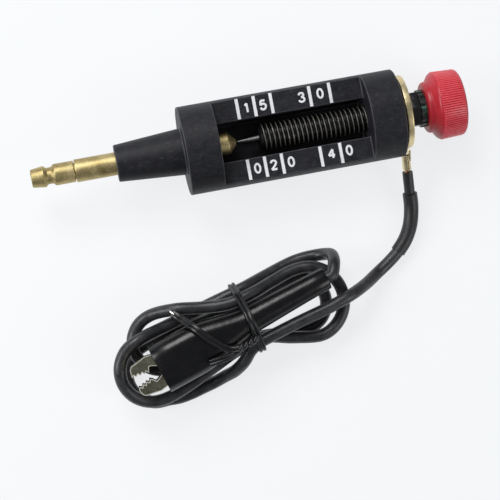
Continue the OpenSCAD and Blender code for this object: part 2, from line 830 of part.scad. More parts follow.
// Flat twist tie round the hank, the lead and the boot, with its twisted knot and two tails.
tie_knot = [[4.6, -3.6, 17.4], [1.4, -3.9, 17.7], [-1.8, -4, 17.8]];
tie_long = [
    [-1.2, -4, 17.9], [-4.6, -2.8, 19.3], [-8.2, 1.7, 19.6], [-10.4, 5.6, 19.6], [-11.4, 7.6, 18.7],
    [-12.6, 9.6, 16.6], [-13.8, 11.6, 14.3], [-15, 13.6, 13.2]
];
tie_short = [[-1.2, -4.2, 17.8], [-4.6, -4.9, 18.7], [-8.2, -4.6, 19.3], [-11.5, -4.2, 19.5]];
module bundle(grow) {
    spots = [
        [near_waist[0][0], near_waist[0][1] + waist_lift], [far_waist[0][0], far_waist[0][1] + waist_lift],
        [far_waist[2][0], far_waist[2][1] + waist_lift], [far_waist[1][0], far_waist[1][1] + waist_lift],
        [lead_hank[4][1], lead_hank[4][2]]
    ];
    boot_spot = in_clip([waist_u - clip_at[0], 0, 0]);
    hull() {
        for (p = spots)
            translate(p)
                circle(r = cord_d / 2 + grow, $fn = 24);
        translate([boot_spot[1], boot_spot[2]])
            circle(r = waist_d / 2 + grow, $fn = 32);
    }
}
module twist_tie() {
    color("#202024")
    on_hank() {
        translate([waist_u - tie_w / 2, 0, 0])
            rotate([90, 0, 90])
                linear_extrude(tie_w)
                    difference() {
                        bundle(soft_fit + tie_t);
                        bundle(soft_fit);
                    }
        tube(tie_knot, tie_w / 2, 8);
        tube(tie_long, tie_w / 2, 8, [0, 1, 0], tie_t / tie_w);
        tube(tie_short, tie_w / 2, 8, [0, 1, 0], tie_t / tie_w);
    }
}

housing();
hv_rod();
terminal_nut();
needle();
adjusting_screw();
threaded_bush();
lock_nut();
lock_washer();
knob();
ground_lug();
wire_strands();
lug_wire();
splice_sleeve();
lead_cord();
cord_hank();
clip_wire();
clip_boot();
clip_fixed_jaw();
clip_moving_jaw();
clip_pin();
clip_spring();
twist_tie();
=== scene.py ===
"""Looks of an adjustable spark plug tester that lies on a bench with its ground lead tied in a hank."""

import math

import bmesh
import bpy
import numpy as np
from mathutils import Matrix, Vector


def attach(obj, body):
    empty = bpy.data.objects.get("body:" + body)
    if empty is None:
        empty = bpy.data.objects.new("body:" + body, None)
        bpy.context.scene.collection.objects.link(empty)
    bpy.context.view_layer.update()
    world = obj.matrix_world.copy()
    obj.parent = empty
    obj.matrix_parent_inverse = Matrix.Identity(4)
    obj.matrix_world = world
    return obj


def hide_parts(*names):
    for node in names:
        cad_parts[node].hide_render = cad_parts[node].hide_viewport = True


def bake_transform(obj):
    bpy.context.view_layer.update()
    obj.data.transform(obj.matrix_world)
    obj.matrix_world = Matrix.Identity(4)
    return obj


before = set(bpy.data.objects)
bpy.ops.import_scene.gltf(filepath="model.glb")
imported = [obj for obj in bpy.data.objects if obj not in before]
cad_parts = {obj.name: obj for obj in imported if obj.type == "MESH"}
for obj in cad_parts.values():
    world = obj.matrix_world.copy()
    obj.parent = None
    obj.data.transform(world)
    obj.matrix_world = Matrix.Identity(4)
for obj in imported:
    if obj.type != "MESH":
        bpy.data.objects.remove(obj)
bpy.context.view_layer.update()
scene = bpy.context.scene
scene.view_settings.view_transform = "Standard"


# Camera: a long lens on a stand, almost straight above the bench.
# It is rolled, so that the tester's axis rises to the right.
CAMERA_AT = (-0.04962, -0.03126, 0.46036)
CAMERA_LOOKS = (0.09788, -0.00251, -0.99519)
CAMERA_UP = (0.18408, 0.98279, 0.01563)
camera = bpy.data.objects.new("camera", bpy.data.cameras.new("camera"))
scene.collection.objects.link(camera)
scene.camera = camera
camera.data.sensor_width = 36
camera.data.lens = 108.65
camera.data.clip_start = 0.01
looking = Vector(CAMERA_LOOKS).normalized()
rightward = looking.cross(Vector(CAMERA_UP)).normalized()
upward = rightward.cross(looking)
turned_view = Matrix((rightward, upward, -looking)).transposed().to_4x4()
camera.matrix_world = Matrix.Translation(CAMERA_AT) @ turned_view


# Bench and light: a plain painted bench top, pale and a little cool, under three soft boxes in a dim room.
# The bench shows nearly white to the camera and in reflections, and keeps the tester's shadow.
BENCH_HALF, BENCH_Z = 2.0, -0.0002
BENCH_PAINT, BENCH_GLOW, GLOW_SHARE = (0.86, 0.88, 0.9, 1), (0.97, 0.985, 1, 1), 0.78
ROOM_COLOUR, ROOM_LEVEL = (0.93, 0.96, 1, 1), 0.2
SOFT_BOXES = [
    ("far_box", (-0.16, 0.46, 0.5), (0, -0.02, 0), 0.34, 2.85),
    ("left_box", (-0.54, 0.06, 0.36), (0, -0.02, 0.01), 0.3, 2.0),
    ("near_box", (0.46, -0.34, 0.4), (0, -0.03, 0.01), 0.3, 1.1),
]


def nodes_of(material):
    """A material's emptied tree and its output."""
    tree = material.node_tree
    tree.nodes.clear()
    return tree, tree.nodes.new("ShaderNodeOutputMaterial")


def linked(tree, kind, sockets, **settings):
    """A new node with its settings, and each input linked or set."""
    node = tree.nodes.new(kind)
    for name, value in settings.items():
        setattr(node, name, value)
    for key, value in sockets.items():
        if isinstance(value, bpy.types.NodeSocket):
            tree.links.new(value, node.inputs[key])
        else:
            node.inputs[key].default_value = value
    return node


def maths(tree, operation, a, b):
    return linked(tree, "ShaderNodeMath", {0: a, 1: b}, operation=operation).outputs[0]


bench_paint = bpy.data.materials.new("bench_paint")
bench_paint.use_nodes = True
tree, out = nodes_of(bench_paint)
ray = linked(tree, "ShaderNodeLightPath", {}).outputs
seen = maths(tree, "MAXIMUM", ray["Is Camera Ray"], ray["Is Glossy Ray"])
seen = maths(tree, "MAXIMUM", seen, ray["Is Transmission Ray"])
share = maths(tree, "MULTIPLY", seen, GLOW_SHARE)
shaded = linked(tree, "ShaderNodeBsdfDiffuse", {"Color": BENCH_PAINT})
bright = linked(tree, "ShaderNodeEmission", {"Color": BENCH_GLOW, "Strength": 1.0})
mixed = linked(tree, "ShaderNodeMixShader", {0: share, 1: shaded.outputs[0], 2: bright.outputs[0]})
tree.links.new(mixed.outputs[0], out.inputs["Surface"])
bench_mesh = bpy.data.meshes.new("bench")
bench_corners = [(x * BENCH_HALF, y * BENCH_HALF, BENCH_Z) for x, y in [(-1, -1), (1, -1), (1, 1), (-1, 1)]]
bench_mesh.from_pydata(bench_corners, [], [(0, 1, 2, 3)])
bench_mesh.materials.append(bench_paint)
bench = bpy.data.objects.new("bench", bench_mesh)
scene.collection.objects.link(bench)

room = bpy.data.worlds.new("room")
room.use_nodes = True
room.node_tree.nodes["Background"].inputs["Color"].default_value = ROOM_COLOUR
room.node_tree.nodes["Background"].inputs["Strength"].default_value = ROOM_LEVEL
scene.world = room
for name, place, aim, wide, watts in SOFT_BOXES:
    box = bpy.data.lights.new(name, "AREA")
    box.size = wide
    box.energy = watts
    lamp = bpy.data.objects.new(name, box)
    lamp.location = place
    lamp.rotation_euler = (Vector(aim) - Vector(place)).to_track_quat("-Z", "Y").to_euler()
    scene.collection.objects.link(lamp)


# Lead: one length of limp PVC cord from the splice at the lug, over the hank, round its three loops and
# into the tail of the clip's boot. Its route is the one that the solids follow.
MM = 0.001
CORD_D = 3.8
AXIS_Z = 13.25
LUG_X, LUG_TILT = 46.9, math.radians(20)
SPLICE_REACH = 25.95
HANK_AT, HANK_TURN = (-13.9, -55.9), math.radians(14.5)
CLIP_AT, CLIP_TURN = (-25.6, 0.2, 13.6), math.radians(3.3)
BOOT_LEN = 56.7
LAYER = (1.9, 6.35, 10.8)
WAIST_U, WAIST_LIFT, LIFT_REACH = 4.8, 1.1, 12
LOOP_STEPS = 6


def lug_point(reach):
    return (LUG_X, -reach * math.cos(LUG_TILT), AXIS_Z - reach * math.sin(LUG_TILT))


def turned_to(point, at, angle):
    c, s = math.cos(angle), math.sin(angle)
    return (at[0] + point[0] * c - point[1] * s, at[1] + point[0] * s + point[1] * c)


def on_bench(p):
    """A place in the hank's frame, on the bench."""
    return (*turned_to(p, HANK_AT, HANK_TURN), p[2])


def in_clip(p):
    """A place in the clip's frame, in the hank's."""
    return (*turned_to(p, CLIP_AT, CLIP_TURN), CLIP_AT[2] + p[2])


def clip_on_bench(p):
    return on_bench(in_clip(p))


def mix(a, b, t):
    return a + (b - a) * t


def ease(t):
    return (1 - math.cos(math.pi * min(1, max(0, t)))) / 2


def turn(centre, side, heights, share):
    """A half loop of the hank round (along, across, radius), from one height to another."""
    bend = []
    for i in range(LOOP_STEPS + 1):
        a = side * (math.pi / 2 - math.pi * i / LOOP_STEPS)
        z = mix(*heights, ease(i / LOOP_STEPS / share))
        bend.append((centre[0] + side * centre[2] * math.cos(a), centre[1] + centre[2] * math.sin(a), z))
    return bend


def run(a, b, waist, climb):
    """A straight run of the hank between two loops, drawn in and lifted at the waist."""
    stretch = []
    for i in range(1, LOOP_STEPS):
        u = mix(a[0], b[0], i / LOOP_STEPS)
        first, second = (u - a[0]) / (WAIST_U - a[0]), (u - WAIST_U) / (b[0] - WAIST_U)
        if first < 1:
            v, z = mix(a[1], waist[0], ease(first)), mix(a[2], waist[1], ease(first / climb))
        else:
            v, z = mix(waist[0], b[1], ease(second)), mix(waist[1], b[2], ease(second))
        stretch.append((u, v, z + WAIST_LIFT * ease(1 - abs(u - WAIST_U) / LIFT_REACH)))
    return stretch


lefts = [
    turn((-26.5, -1.2, 9), -1, (LAYER[0], LAYER[0]), 1),
    turn((-21.4, 6.9, 8.6), -1, (3.4, LAYER[1]), 0.42),
    turn((-27.3, 0.7, 9.8), -1, (LAYER[1], LAYER[2]), 0.7),
]
rights = [
    turn((22, -1, 8), 1, (LAYER[0], LAYER[0]), 1),
    turn((24, -1.4, 10.8), 1, (LAYER[1], LAYER[1]), 1),
]
far_waist = [(6.5, LAYER[0]), (8.6, LAYER[2]), (11, LAYER[1])]
far_climb = (1, 0.36, 0.32)
near_waist = [(-4.8, LAYER[0]), (-4.8, LAYER[1])]
last_run = (24.6, 11.6, LAYER[0])
hank = [(-16, -11.4, 1.9), (-19.8, -11.4, 1.9), (-23.6, -11, 1.9)]
for k, left in enumerate(lefts):
    if k < len(rights):
        hank += left + run(left[-1], rights[k][0], far_waist[k], far_climb[k])
        hank += rights[k] + run(rights[k][-1], lefts[k + 1][0], near_waist[k], 1)
    else:
        hank += left + run(left[-1], last_run, far_waist[k], far_climb[k])
hank += [
    last_run, (28.8, 11.2, 1.9), (32.4, 10.4, 2.4), (35, 9.6, 4.2), (36.3, 8.8, 6.9), (36, 7.4, 9.9),
    (34.9, 5.8, 12.2), in_clip((BOOT_LEN + CORD_D / 2, 0, 0)), in_clip((BOOT_LEN - 1, 0, 0)),
]
lead_bench = [
    lug_point(SPLICE_REACH), lug_point(SPLICE_REACH + CORD_D),
    (46.2, -32, 2.4), (45, -35.2, 2.3), (43, -38.4, 2.3), (40.3, -41.3, 2.3), (36.8, -44, 2.2),
    (32.6, -46.6, 3), (28.6, -48.8, 5.6), (25, -50.3, 8.6),
]
lead_hank = [
    (34.7, -4.7, 10.8), (28, -5.1, 11.3), (18.5, -5.1, 11.5), (9.5, -5.3, 11.7), (4.8, -5.6, 11.7),
    (1.5, -6.7, 11.2), (-1.5, -8.9, 9.9), (-5, -10.5, 6.7), (-8.5, -11, 3.6), (-12.2, -11.4, 1.9),
]
lead_route = lead_bench + [on_bench(p) for p in lead_hank + hank]


def smooth_route(points, steps=6):
    """The points of a centripetal curve through a route, so that it bends without corners."""
    p = np.array(points, float)
    p = np.vstack([2 * p[0] - p[1], p, 2 * p[-1] - p[-2]])
    route = []
    for i in range(1, len(p) - 2):
        q = p[i - 1 : i + 3]
        k = np.concatenate([[0], np.cumsum(np.linalg.norm(np.diff(q, axis=0), axis=1) ** 0.5)])
        for t in np.linspace(k[1], k[2], steps, endpoint=False):
            a = [q[j] + (q[j + 1] - q[j]) * (t - k[j]) / (k[j + 1] - k[j]) for j in range(3)]
            b = [a[j] + (a[j + 1] - a[j]) * (t - k[j]) / (k[j + 2] - k[j]) for j in range(2)]
            route.append(b[0] + (b[1] - b[0]) * (t - k[1]) / (k[2] - k[1]))
    return np.array(route + [p[-2]])


FLOAT, WHOLE, VECTOR = "NodeSocketFloat", "NodeSocketInt", "NodeSocketVector"
SHAPE, SKIN = "NodeSocketGeometry", "NodeSocketMaterial"


def new_tree(kind, name, inputs, outputs):
    """A node tree with its named sockets, and the sockets of its two ends."""
    group = bpy.data.node_groups.new(name, kind)
    for way, sockets in [("INPUT", inputs), ("OUTPUT", outputs)]:
        for socket, socket_kind in sockets.items():
            group.interface.new_socket(socket, in_out=way, socket_type=socket_kind)
    return group, group.nodes.new("NodeGroupInput").outputs, group.nodes.new("NodeGroupOutput").inputs


def real_and_dyed(tree, shape, skin):
    """The end of a tree that makes a shape: real faces with their material."""
    real = linked(tree, "GeometryNodeRealizeInstances", {"Geometry": shape})
    return linked(tree, "GeometryNodeSetMaterial", {"Geometry": real.outputs[0], "Material": skin}).outputs[0]


# A tube of any round section along a route, with its sizes as inputs.
along, given, made = new_tree(
    "GeometryNodeTree", "tube_along_route",
    {"Route": SHAPE, "Radius": FLOAT, "Sides": WHOLE, "Skin": SKIN}, {"Tube": SHAPE},
)
line = linked(along, "GeometryNodeMeshToCurve", {"Mesh": given["Route"]})
ring = linked(along, "GeometryNodeCurvePrimitiveCircle", {"Resolution": given["Sides"], "Radius": given["Radius"]})
skin = linked(along, "GeometryNodeCurveToMesh", {
    "Curve": line.outputs[0], "Profile Curve": ring.outputs[0], "Fill Caps": True,
})
soft = linked(along, "GeometryNodeSetShadeSmooth", {"Geometry": skin.outputs[0]})
along.links.new(real_and_dyed(along, soft.outputs[0], given["Skin"]), made["Tube"])


def plain_mesh(obj):
    """The mesh that an object's modifiers give."""
    bpy.context.view_layer.update()
    return bpy.data.meshes.new_from_object(obj.evaluated_get(bpy.context.evaluated_depsgraph_get()))


def grown(name, tree, mesh, inputs):
    """A piece from a Geometry Nodes tree, as a plain mesh with no modifier left on it."""
    obj = bpy.data.objects.new(name, mesh)
    scene.collection.objects.link(obj)
    maker = obj.modifiers.new("maker", "NODES")
    maker.node_group = tree
    for item in tree.interface.items_tree:
        if item.in_out == "INPUT" and item.name in inputs:
            maker[item.identifier] = inputs[item.name]
    shape = plain_mesh(obj)
    obj.modifiers.remove(maker)
    obj.data = shape
    shape.name = name
    return obj


def tube(name, route, radius, material, sides=18):
    wire = bpy.data.meshes.new(name + "_route")
    points = [tuple(p * MM) for p in np.array(route)]
    wire.from_pydata(points, [(i, i + 1) for i in range(len(points) - 1)], [])
    return grown(name, along, wire, {"Radius": radius * MM, "Sides": sides, "Skin": material})


def ranged(tree, value, low, high, to_low=0.0, to_high=1.0):
    """A value spread from one range to another, and held inside it."""
    limits = {"From Min": low, "From Max": high, "To Min": to_low, "To Max": to_high}
    return linked(tree, "ShaderNodeMapRange", {"Value": value, **limits}).outputs[0]


# Moulded grain: fine specks for the height, and specks over broad patches for the tone and gloss.
grain_group, given, made = new_tree(
    "ShaderNodeTree", "moulded_grain", {"Place": VECTOR, "Scale": FLOAT}, {"Height": FLOAT, "Mask": FLOAT},
)
PATCH_SHARE = 0.09
speck = linked(grain_group, "ShaderNodeTexNoise", {
    "Vector": given["Place"], "Scale": given["Scale"], "Detail": 3.0, "Roughness": 0.6,
}).outputs["Fac"]
broad = maths(grain_group, "MULTIPLY", given["Scale"], PATCH_SHARE)
patch = linked(grain_group, "ShaderNodeTexNoise", {"Vector": given["Place"], "Scale": broad, "Detail": 2.0})
blend = linked(grain_group, "ShaderNodeMix", {0: 0.5, 2: patch.outputs["Fac"], 3: speck}, data_type="FLOAT")
grain_group.links.new(speck, made["Height"])
grain_group.links.new(blend.outputs[0], made["Mask"])

# Rubbed patches: short streaks where a surface has been handled.
rub_group, given, made = new_tree(
    "ShaderNodeTree", "rubbed_patches", {"Place": VECTOR, "Scale": FLOAT, "Amount": FLOAT}, {"Mask": FLOAT},
)
long_way = linked(rub_group, "ShaderNodeMapping", {
    "Vector": given["Place"], "Rotation": (0.3, 0.5, 0.4), "Scale": (0.35, 1, 1),
})
streak = linked(rub_group, "ShaderNodeTexNoise", {
    "Vector": long_way.outputs[0], "Scale": given["Scale"], "Detail": 5.0, "Roughness": 0.65,
})
sharp = ranged(rub_group, streak.outputs["Fac"], 0.56, 0.74)
rub_group.links.new(maths(rub_group, "MULTIPLY", sharp, given["Amount"]), made["Mask"])

GRAIN_HEIGHT = 0.3


def finish(
    name, dark, light, rough, metal=0.0, grain=900.0, bump=0.1, rub=0.2, rub_scale=160.0, rub_tone=None, **sockets
):
    """A finish between two tones, with its grain in the height, patches in the gloss and rubbed spots."""
    material = bpy.data.materials.new(name)
    material.use_nodes = True
    tree, out = nodes_of(material)
    place = linked(tree, "ShaderNodeTexCoord", {}).outputs["Object"]
    grains = linked(tree, "ShaderNodeGroup", {}, node_tree=grain_group)
    tree.links.new(place, grains.inputs["Place"])
    grains.inputs["Scale"].default_value = grain
    rubs = linked(tree, "ShaderNodeGroup", {}, node_tree=rub_group)
    tree.links.new(place, rubs.inputs["Place"])
    rubs.inputs["Scale"].default_value = rub_scale
    rubs.inputs["Amount"].default_value = rub
    mask = grains.outputs["Mask"]
    spread = ranged(tree, mask, 0.36, 0.64)
    tone = linked(tree, "ShaderNodeMix", {0: spread, 6: (*dark, 1), 7: (*light, 1)}, data_type="RGBA")
    wear_and_sheen = linked(tree, "ShaderNodeMix", {
        0: rubs.outputs["Mask"], 6: tone.outputs[2], 7: (*(rub_tone or light), 1),
    }, data_type="RGBA")
    gloss = ranged(tree, mask, 0.3, 0.7, *rough)
    relief = linked(tree, "ShaderNodeBump", {
        "Height": grains.outputs["Height"], "Strength": bump, "Distance": GRAIN_HEIGHT * MM,
    })
    shader = linked(tree, "ShaderNodeBsdfPrincipled", {
        "Base Color": wear_and_sheen.outputs[2], "Roughness": gloss, "Normal": relief.outputs[0], "Metallic": metal, **sockets,
    })
    tree.links.new(shader.outputs[0], out.inputs["Surface"])
    return material


cord_pvc = finish(
    "cord_pvc", (0.0125, 0.0128, 0.015), (0.043, 0.0435, 0.048), (0.26, 0.4), grain=4200, bump=0.2,
    rub=0.4, rub_scale=420, rub_tone=(0.065, 0.065, 0.07), **{"Specular IOR Level": 0.5},
)
lead_line = smooth_route(lead_route)
lead = tube("lead", lead_line, CORD_D / 2, cord_pvc)
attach(lead, "tester")
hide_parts("lead_cord", "cord_hank")


# Housing: one black plastic moulding with a tapered nose, a flat that carries the scale, and a blind slot along
# it. The rod and the bush sit in bores at its ends, and the screw's passage is drilled through its head.
def skin_faces(rows, around, looped=False):
    """The faces between neighbouring rows of points, each row going once round."""
    faces = []
    for k in range(rows if looped else rows - 1):
        a, b = k * around, (k + 1) % rows * around
        faces += [(a + i, a + (i + 1) % around, b + (i + 1) % around, b + i) for i in range(around)]
    return faces


def dressed(name, mesh, material, angle=35, bevel=0, segments=3, edge_material=None):
    """A mesh as a placed object, smooth up to an angle, with its sharper edges broken."""
    mesh.materials.clear()
    mesh.materials.append(material)
    mesh.shade_smooth()
    mesh.set_sharp_from_angle(angle=math.radians(angle))
    obj = bpy.data.objects.new(name, mesh)
    scene.collection.objects.link(obj)
    if bevel:
        edge = obj.modifiers.new("edge", "BEVEL")
        edge.width = bevel * MM
        edge.segments = segments
        edge.limit_method = "ANGLE"
        edge.angle_limit = math.radians(angle)
        edge.harden_normals = True
        if edge_material:
            mesh.materials.append(edge_material)
            edge.material = 1
    return obj


def piece(name, verts, faces, material, angle=35):
    """Points in millimetres and their faces as a placed object, with its faces turned outwards."""
    mesh = bpy.data.meshes.new(name)
    mesh.from_pydata([tuple(c * MM for c in v) for v in verts], [], faces)
    work = bmesh.new()
    work.from_mesh(mesh)
    bmesh.ops.remove_doubles(work, verts=work.verts, dist=1e-7)
    bmesh.ops.recalc_face_normals(work, faces=work.faces)
    work.to_mesh(mesh)
    work.free()
    return dressed(name, mesh, material, angle)


def lathed(name, profile, material, steps=96, angle=30, closed=False):
    """A profile of (along the axis, radius) spun about the tester's axis."""
    rows = list(profile) + ([profile[0]] if closed else [])
    spins = [2 * math.pi * i / steps for i in range(steps)]
    verts = [(x, r * math.cos(a), AXIS_Z + r * math.sin(a)) for x, r in rows for a in spins]
    return piece(name, verts, skin_faces(len(rows), steps), material, angle)


BODY_R, NOSE_R, NOSE_ROOT_R = 13.25, 5.5, 7.0
X_NOSE, X_BODY, X_FLAT, X_HEAD, X_END = -40.0, -19.8, -9.6, 35.6, 45.6
FLAT_H, SLOT_HALF, SLOT_DEPTH = 4.8, 5.8, 6.0
ROD_BORE_R, ROD_BORE_DEPTH = 3.45, 3
BUSH_BORE_R, BUSH_BORE_DEPTH = 6.25, 2
PASSAGE_R, PASSAGE_OVER = 4.15, 1
EDGE_BREAK = 0.3
LOW_STEPS, TOP_STEPS = 80, 40
flat_angle = math.asin(FLAT_H / BODY_R)
lower = np.linspace(math.pi - flat_angle, 2 * math.pi + flat_angle, LOW_STEPS + 1)
upper = np.linspace(flat_angle, math.pi - flat_angle, TOP_STEPS + 1)
angles = np.concatenate([lower, upper[1:-1]])
count = len(angles)
verts, faces = [], []


def hoop(x, r):
    start = len(verts)
    verts.extend((x, r * math.cos(a), AXIS_Z + r * math.sin(a)) for a in angles)
    return [start + i for i in range(count)]


def bridge(a, b, span):
    faces.extend((a[i], a[(i + 1) % count], b[(i + 1) % count], b[i]) for i in span)


front_rims = [hoop(x, r) for x, r in [
    (X_NOSE + ROD_BORE_DEPTH, ROD_BORE_R), (X_NOSE, ROD_BORE_R), (X_NOSE, NOSE_R),
    (X_BODY, NOSE_ROOT_R), (X_BODY, BODY_R), (X_FLAT, BODY_R),
]]
tail_rims = [hoop(x, r) for x, r in [
    (X_HEAD, BODY_R), (X_END, BODY_R), (X_END, BUSH_BORE_R), (X_END - BUSH_BORE_DEPTH, BUSH_BORE_R),
]]
for rims in (front_rims, tail_rims):
    for a, b in zip(rims, rims[1:]):
        bridge(a, b, range(count))
faces += [front_rims[0][::-1], tail_rims[-1]]
bridge(front_rims[-1], tail_rims[0], range(LOW_STEPS))
slot_ends = []
for x, rim in [(X_FLAT, front_rims[-1]), (X_HEAD, tail_rims[0])]:
    corner = [len(verts) + i for i in range(4)]
    for y, z in [(1, FLAT_H), (1, -SLOT_DEPTH), (-1, -SLOT_DEPTH), (-1, FLAT_H)]:
        verts.append((x, y * SLOT_HALF, AXIS_Z + z))
    faces.append(rim[LOW_STEPS:] + [rim[0]] + corner[::-1])
    slot_ends.append((rim, corner))
(rim_a, slot_a), (rim_b, slot_b) = slot_ends
for i in range(3):
    faces.append((slot_a[i], slot_a[i + 1], slot_b[i + 1], slot_b[i]))
faces.append((rim_a[LOW_STEPS], slot_a[0], slot_b[0], rim_b[LOW_STEPS]))
faces.append((slot_a[3], rim_a[0], rim_b[0], slot_b[3]))
housing_plastic = finish(
    "housing_plastic", (0.006, 0.0062, 0.0085), (0.019, 0.0193, 0.0245), (0.46, 0.6), grain=5200, bump=0.16,
    rub=0.8, rub_scale=1700, rub_tone=(0.055, 0.055, 0.064), **{"Specular IOR Level": 0.28},
)
# Every bevelled edge of the housing takes a lighter finish: partly rubbed wear, partly a painted highlight along the
# edges.
edge_wear_and_highlight = finish(
    "edge_wear_and_highlight", (0.022, 0.022, 0.028), (0.055, 0.055, 0.066), (0.4, 0.55), grain=2600, bump=0.1,
    rub=0.7, rub_scale=600, rub_tone=(0.1, 0.1, 0.115), **{"Specular IOR Level": 0.4},
)
blank = piece("housing_blank", verts, faces, housing_plastic)
x_in, x_out = X_HEAD - PASSAGE_OVER, X_END - PASSAGE_OVER
passage_profile = [(x_in, 0), (x_in, PASSAGE_R), (x_out, PASSAGE_R), (x_out, 0)]
passage = lathed("screw_passage", passage_profile, housing_plastic, steps=64)
drill = blank.modifiers.new("drill", "BOOLEAN")
drill.operation = "DIFFERENCE"
drill.solver = "EXACT"
drill.object = passage
drilled = plain_mesh(blank)
bpy.data.objects.remove(blank)
bpy.data.objects.remove(passage)
housing = dressed("housing_moulding", drilled, housing_plastic, bevel=EDGE_BREAK, edge_material=edge_wear_and_highlight)
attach(housing, "tester")
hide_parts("housing")


# Scale: white ticks and numbers printed on the flat, each side of the slot.
# The ink is a thin skin, a little worn, and the numbers have an even pen stroke.
FLAT_Z = AXIS_Z + FLAT_H
INK_UNDER, INK_OVER = 0.05, 0.03
TICK_STATIONS = (17.8, 22.9, 28.0, 39.7, 45.75)
TICK_HALF, TICK_NEAR, TICK_FAR = 0.47, 6.05, 12.1
PEN_R, PEN_FLATNESS = 0.31, 0.12
print_ink = finish(
    "print_ink", (0.72, 0.73, 0.76), (0.88, 0.88, 0.9), (0.5, 0.6), grain=2500, bump=0.1,
    rub=0.55, rub_scale=420, rub_tone=(0.3, 0.3, 0.32),
)
tick_outline = [(-TICK_HALF, TICK_NEAR), (TICK_HALF, TICK_NEAR), (TICK_HALF, TICK_FAR), (-TICK_HALF, TICK_FAR)]
tick_faces = skin_faces(2, 4) + [(4, 5, 6, 7), (0, 3, 2, 1)]
verts, faces = [], []
for station in TICK_STATIONS:
    for side in (-1, 1):
        faces += [tuple(len(verts) + v for v in face) for face in tick_faces]
        for z in (FLAT_Z - INK_UNDER, FLAT_Z + INK_OVER):
            verts += [(X_BODY + station + x, side * y, z) for x, y in tick_outline]
ticks = piece("scale_ticks", verts, faces, print_ink)
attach(ticks, "tester")
upper_marks = [("1", 20.5, 9.0), ("5", 25.4, 9.0), ("3", 37.1, 9.2), ("0", 42.8, 9.4)]
lower_marks = [("0", 20.4, -9.1), ("2", 25.3, -9.0), ("0", 30.6, -9.0), ("4", 42.9, -8.8), ("0", 48.3, -8.7)]
oval = [(0.78 * math.cos(a), 1.3 * math.sin(a)) for a in np.linspace(0, 2 * math.pi, 33)]
pen = {
    "0": [oval],
    "1": [[(-0.5, 0.72), (0.14, 1.3)], [(0.14, 1.3), (0.14, -1.3)]],
    "2": [
        [(-0.78, 0.62), (-0.55, 1.12), (0, 1.3), (0.58, 1.12), (0.76, 0.62), (0.5, 0.05), (-0.8, -1.3)],
        [(-0.8, -1.3), (0.84, -1.3)],
    ],
    "3": [
        [(-0.76, 0.78), (-0.45, 1.2), (0.02, 1.3), (0.52, 1.14), (0.68, 0.68), (0.45, 0.24), (-0.1, 0.08)],
        [(-0.1, 0.08), (0.5, -0.08), (0.8, -0.6), (0.55, -1.12), (0, -1.3), (-0.52, -1.16), (-0.8, -0.72)],
    ],
    "4": [[(0.38, -1.3), (0.38, 1.3)], [(0.38, 1.3), (-0.92, -0.48)], [(-0.92, -0.48), (0.92, -0.48)]],
    "5": [
        [(0.7, 1.3), (-0.52, 1.3)], [(-0.52, 1.3), (-0.72, 0.02)],
        [
            (-0.72, 0.02), (-0.2, 0.36), (0.35, 0.3), (0.76, -0.1), (0.78, -0.6), (0.45, -1.14), (-0.05, -1.3),
            (-0.55, -1.14), (-0.8, -0.72),
        ],
    ],
}


def joined(name, parts, material, bevel=0):
    """Several pieces as one mesh."""
    work = bmesh.new()
    for part in parts:
        work.from_mesh(part.data)
        bpy.data.objects.remove(part)
    mesh = bpy.data.meshes.new(name)
    work.to_mesh(mesh)
    work.free()
    return dressed(name, mesh, material, bevel=bevel)


strokes = []
for mark, station, y in upper_marks + lower_marks:
    spot = Matrix.Translation(((X_BODY + station) * MM, y * MM, FLAT_Z * MM))
    for stroke in pen[mark]:
        line = stroke if mark == "0" else smooth_route(stroke)
        drawn = tube("stroke", [(*p[:2], 0) for p in line], PEN_R, print_ink, sides=8)
        drawn.data.transform(spot @ Matrix.Diagonal((1, 1, PEN_FLATNESS, 1)))
        strokes.append(drawn)
numbers = joined("scale_digits", strokes, print_ink)
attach(numbers, "tester")


# Brass rod and terminal: the bare rod runs through the nose into the window and ends in a blunt cone.
# The plug terminal is a turned nut screwed on its stud, with a snap groove and a fine seam behind it.
def rounded(points, radius, steps=4):
    """A profile with its inner corners eased."""
    p = [np.array(q, float) for q in points]
    line = [p[0]]
    for a, b, c in zip(p, p[1:], p[2:]):
        back, on = np.linalg.norm(a - b), np.linalg.norm(c - b)
        reach = min(radius, 0.45 * back, 0.45 * on)
        start, end = b + (a - b) / back * reach, b + (c - b) / on * reach
        for t in np.linspace(0, 1, steps + 1):
            line.append((1 - t) ** 2 * start + 2 * t * (1 - t) * b + t * t * end)
    return line + [p[-1]]


# Lathe lines: the fine rings that a tool leaves round the tester's axis.
lathe_group, given, made = new_tree(
    "ShaderNodeTree", "lathe_lines", {"Place": VECTOR, "Pitch": FLOAT}, {"Height": FLOAT},
)
split = linked(lathe_group, "ShaderNodeSeparateXYZ", {0: given["Place"]}).outputs
off = maths(lathe_group, "SUBTRACT", split["Z"], AXIS_Z * MM)
flat_place = linked(lathe_group, "ShaderNodeCombineXYZ", {"X": split["Y"], "Y": off})
radius = linked(lathe_group, "ShaderNodeVectorMath", {0: flat_place.outputs[0]}, operation="LENGTH")
walk = maths(lathe_group, "ADD", split["X"], radius.outputs["Value"])
lines = maths(lathe_group, "DIVIDE", walk, given["Pitch"])
ridge = linked(lathe_group, "ShaderNodeTexNoise", {"W": lines, "Scale": 1.0, "Detail": 2.0}, noise_dimensions="1D")
lathe_group.links.new(ridge.outputs["Fac"], made["Height"])

RING_HEIGHT = 0.03


def node_in(tree, kind):
    """The first node of a kind in a finish."""
    return next(node for node in tree.nodes if node.bl_idname == kind)


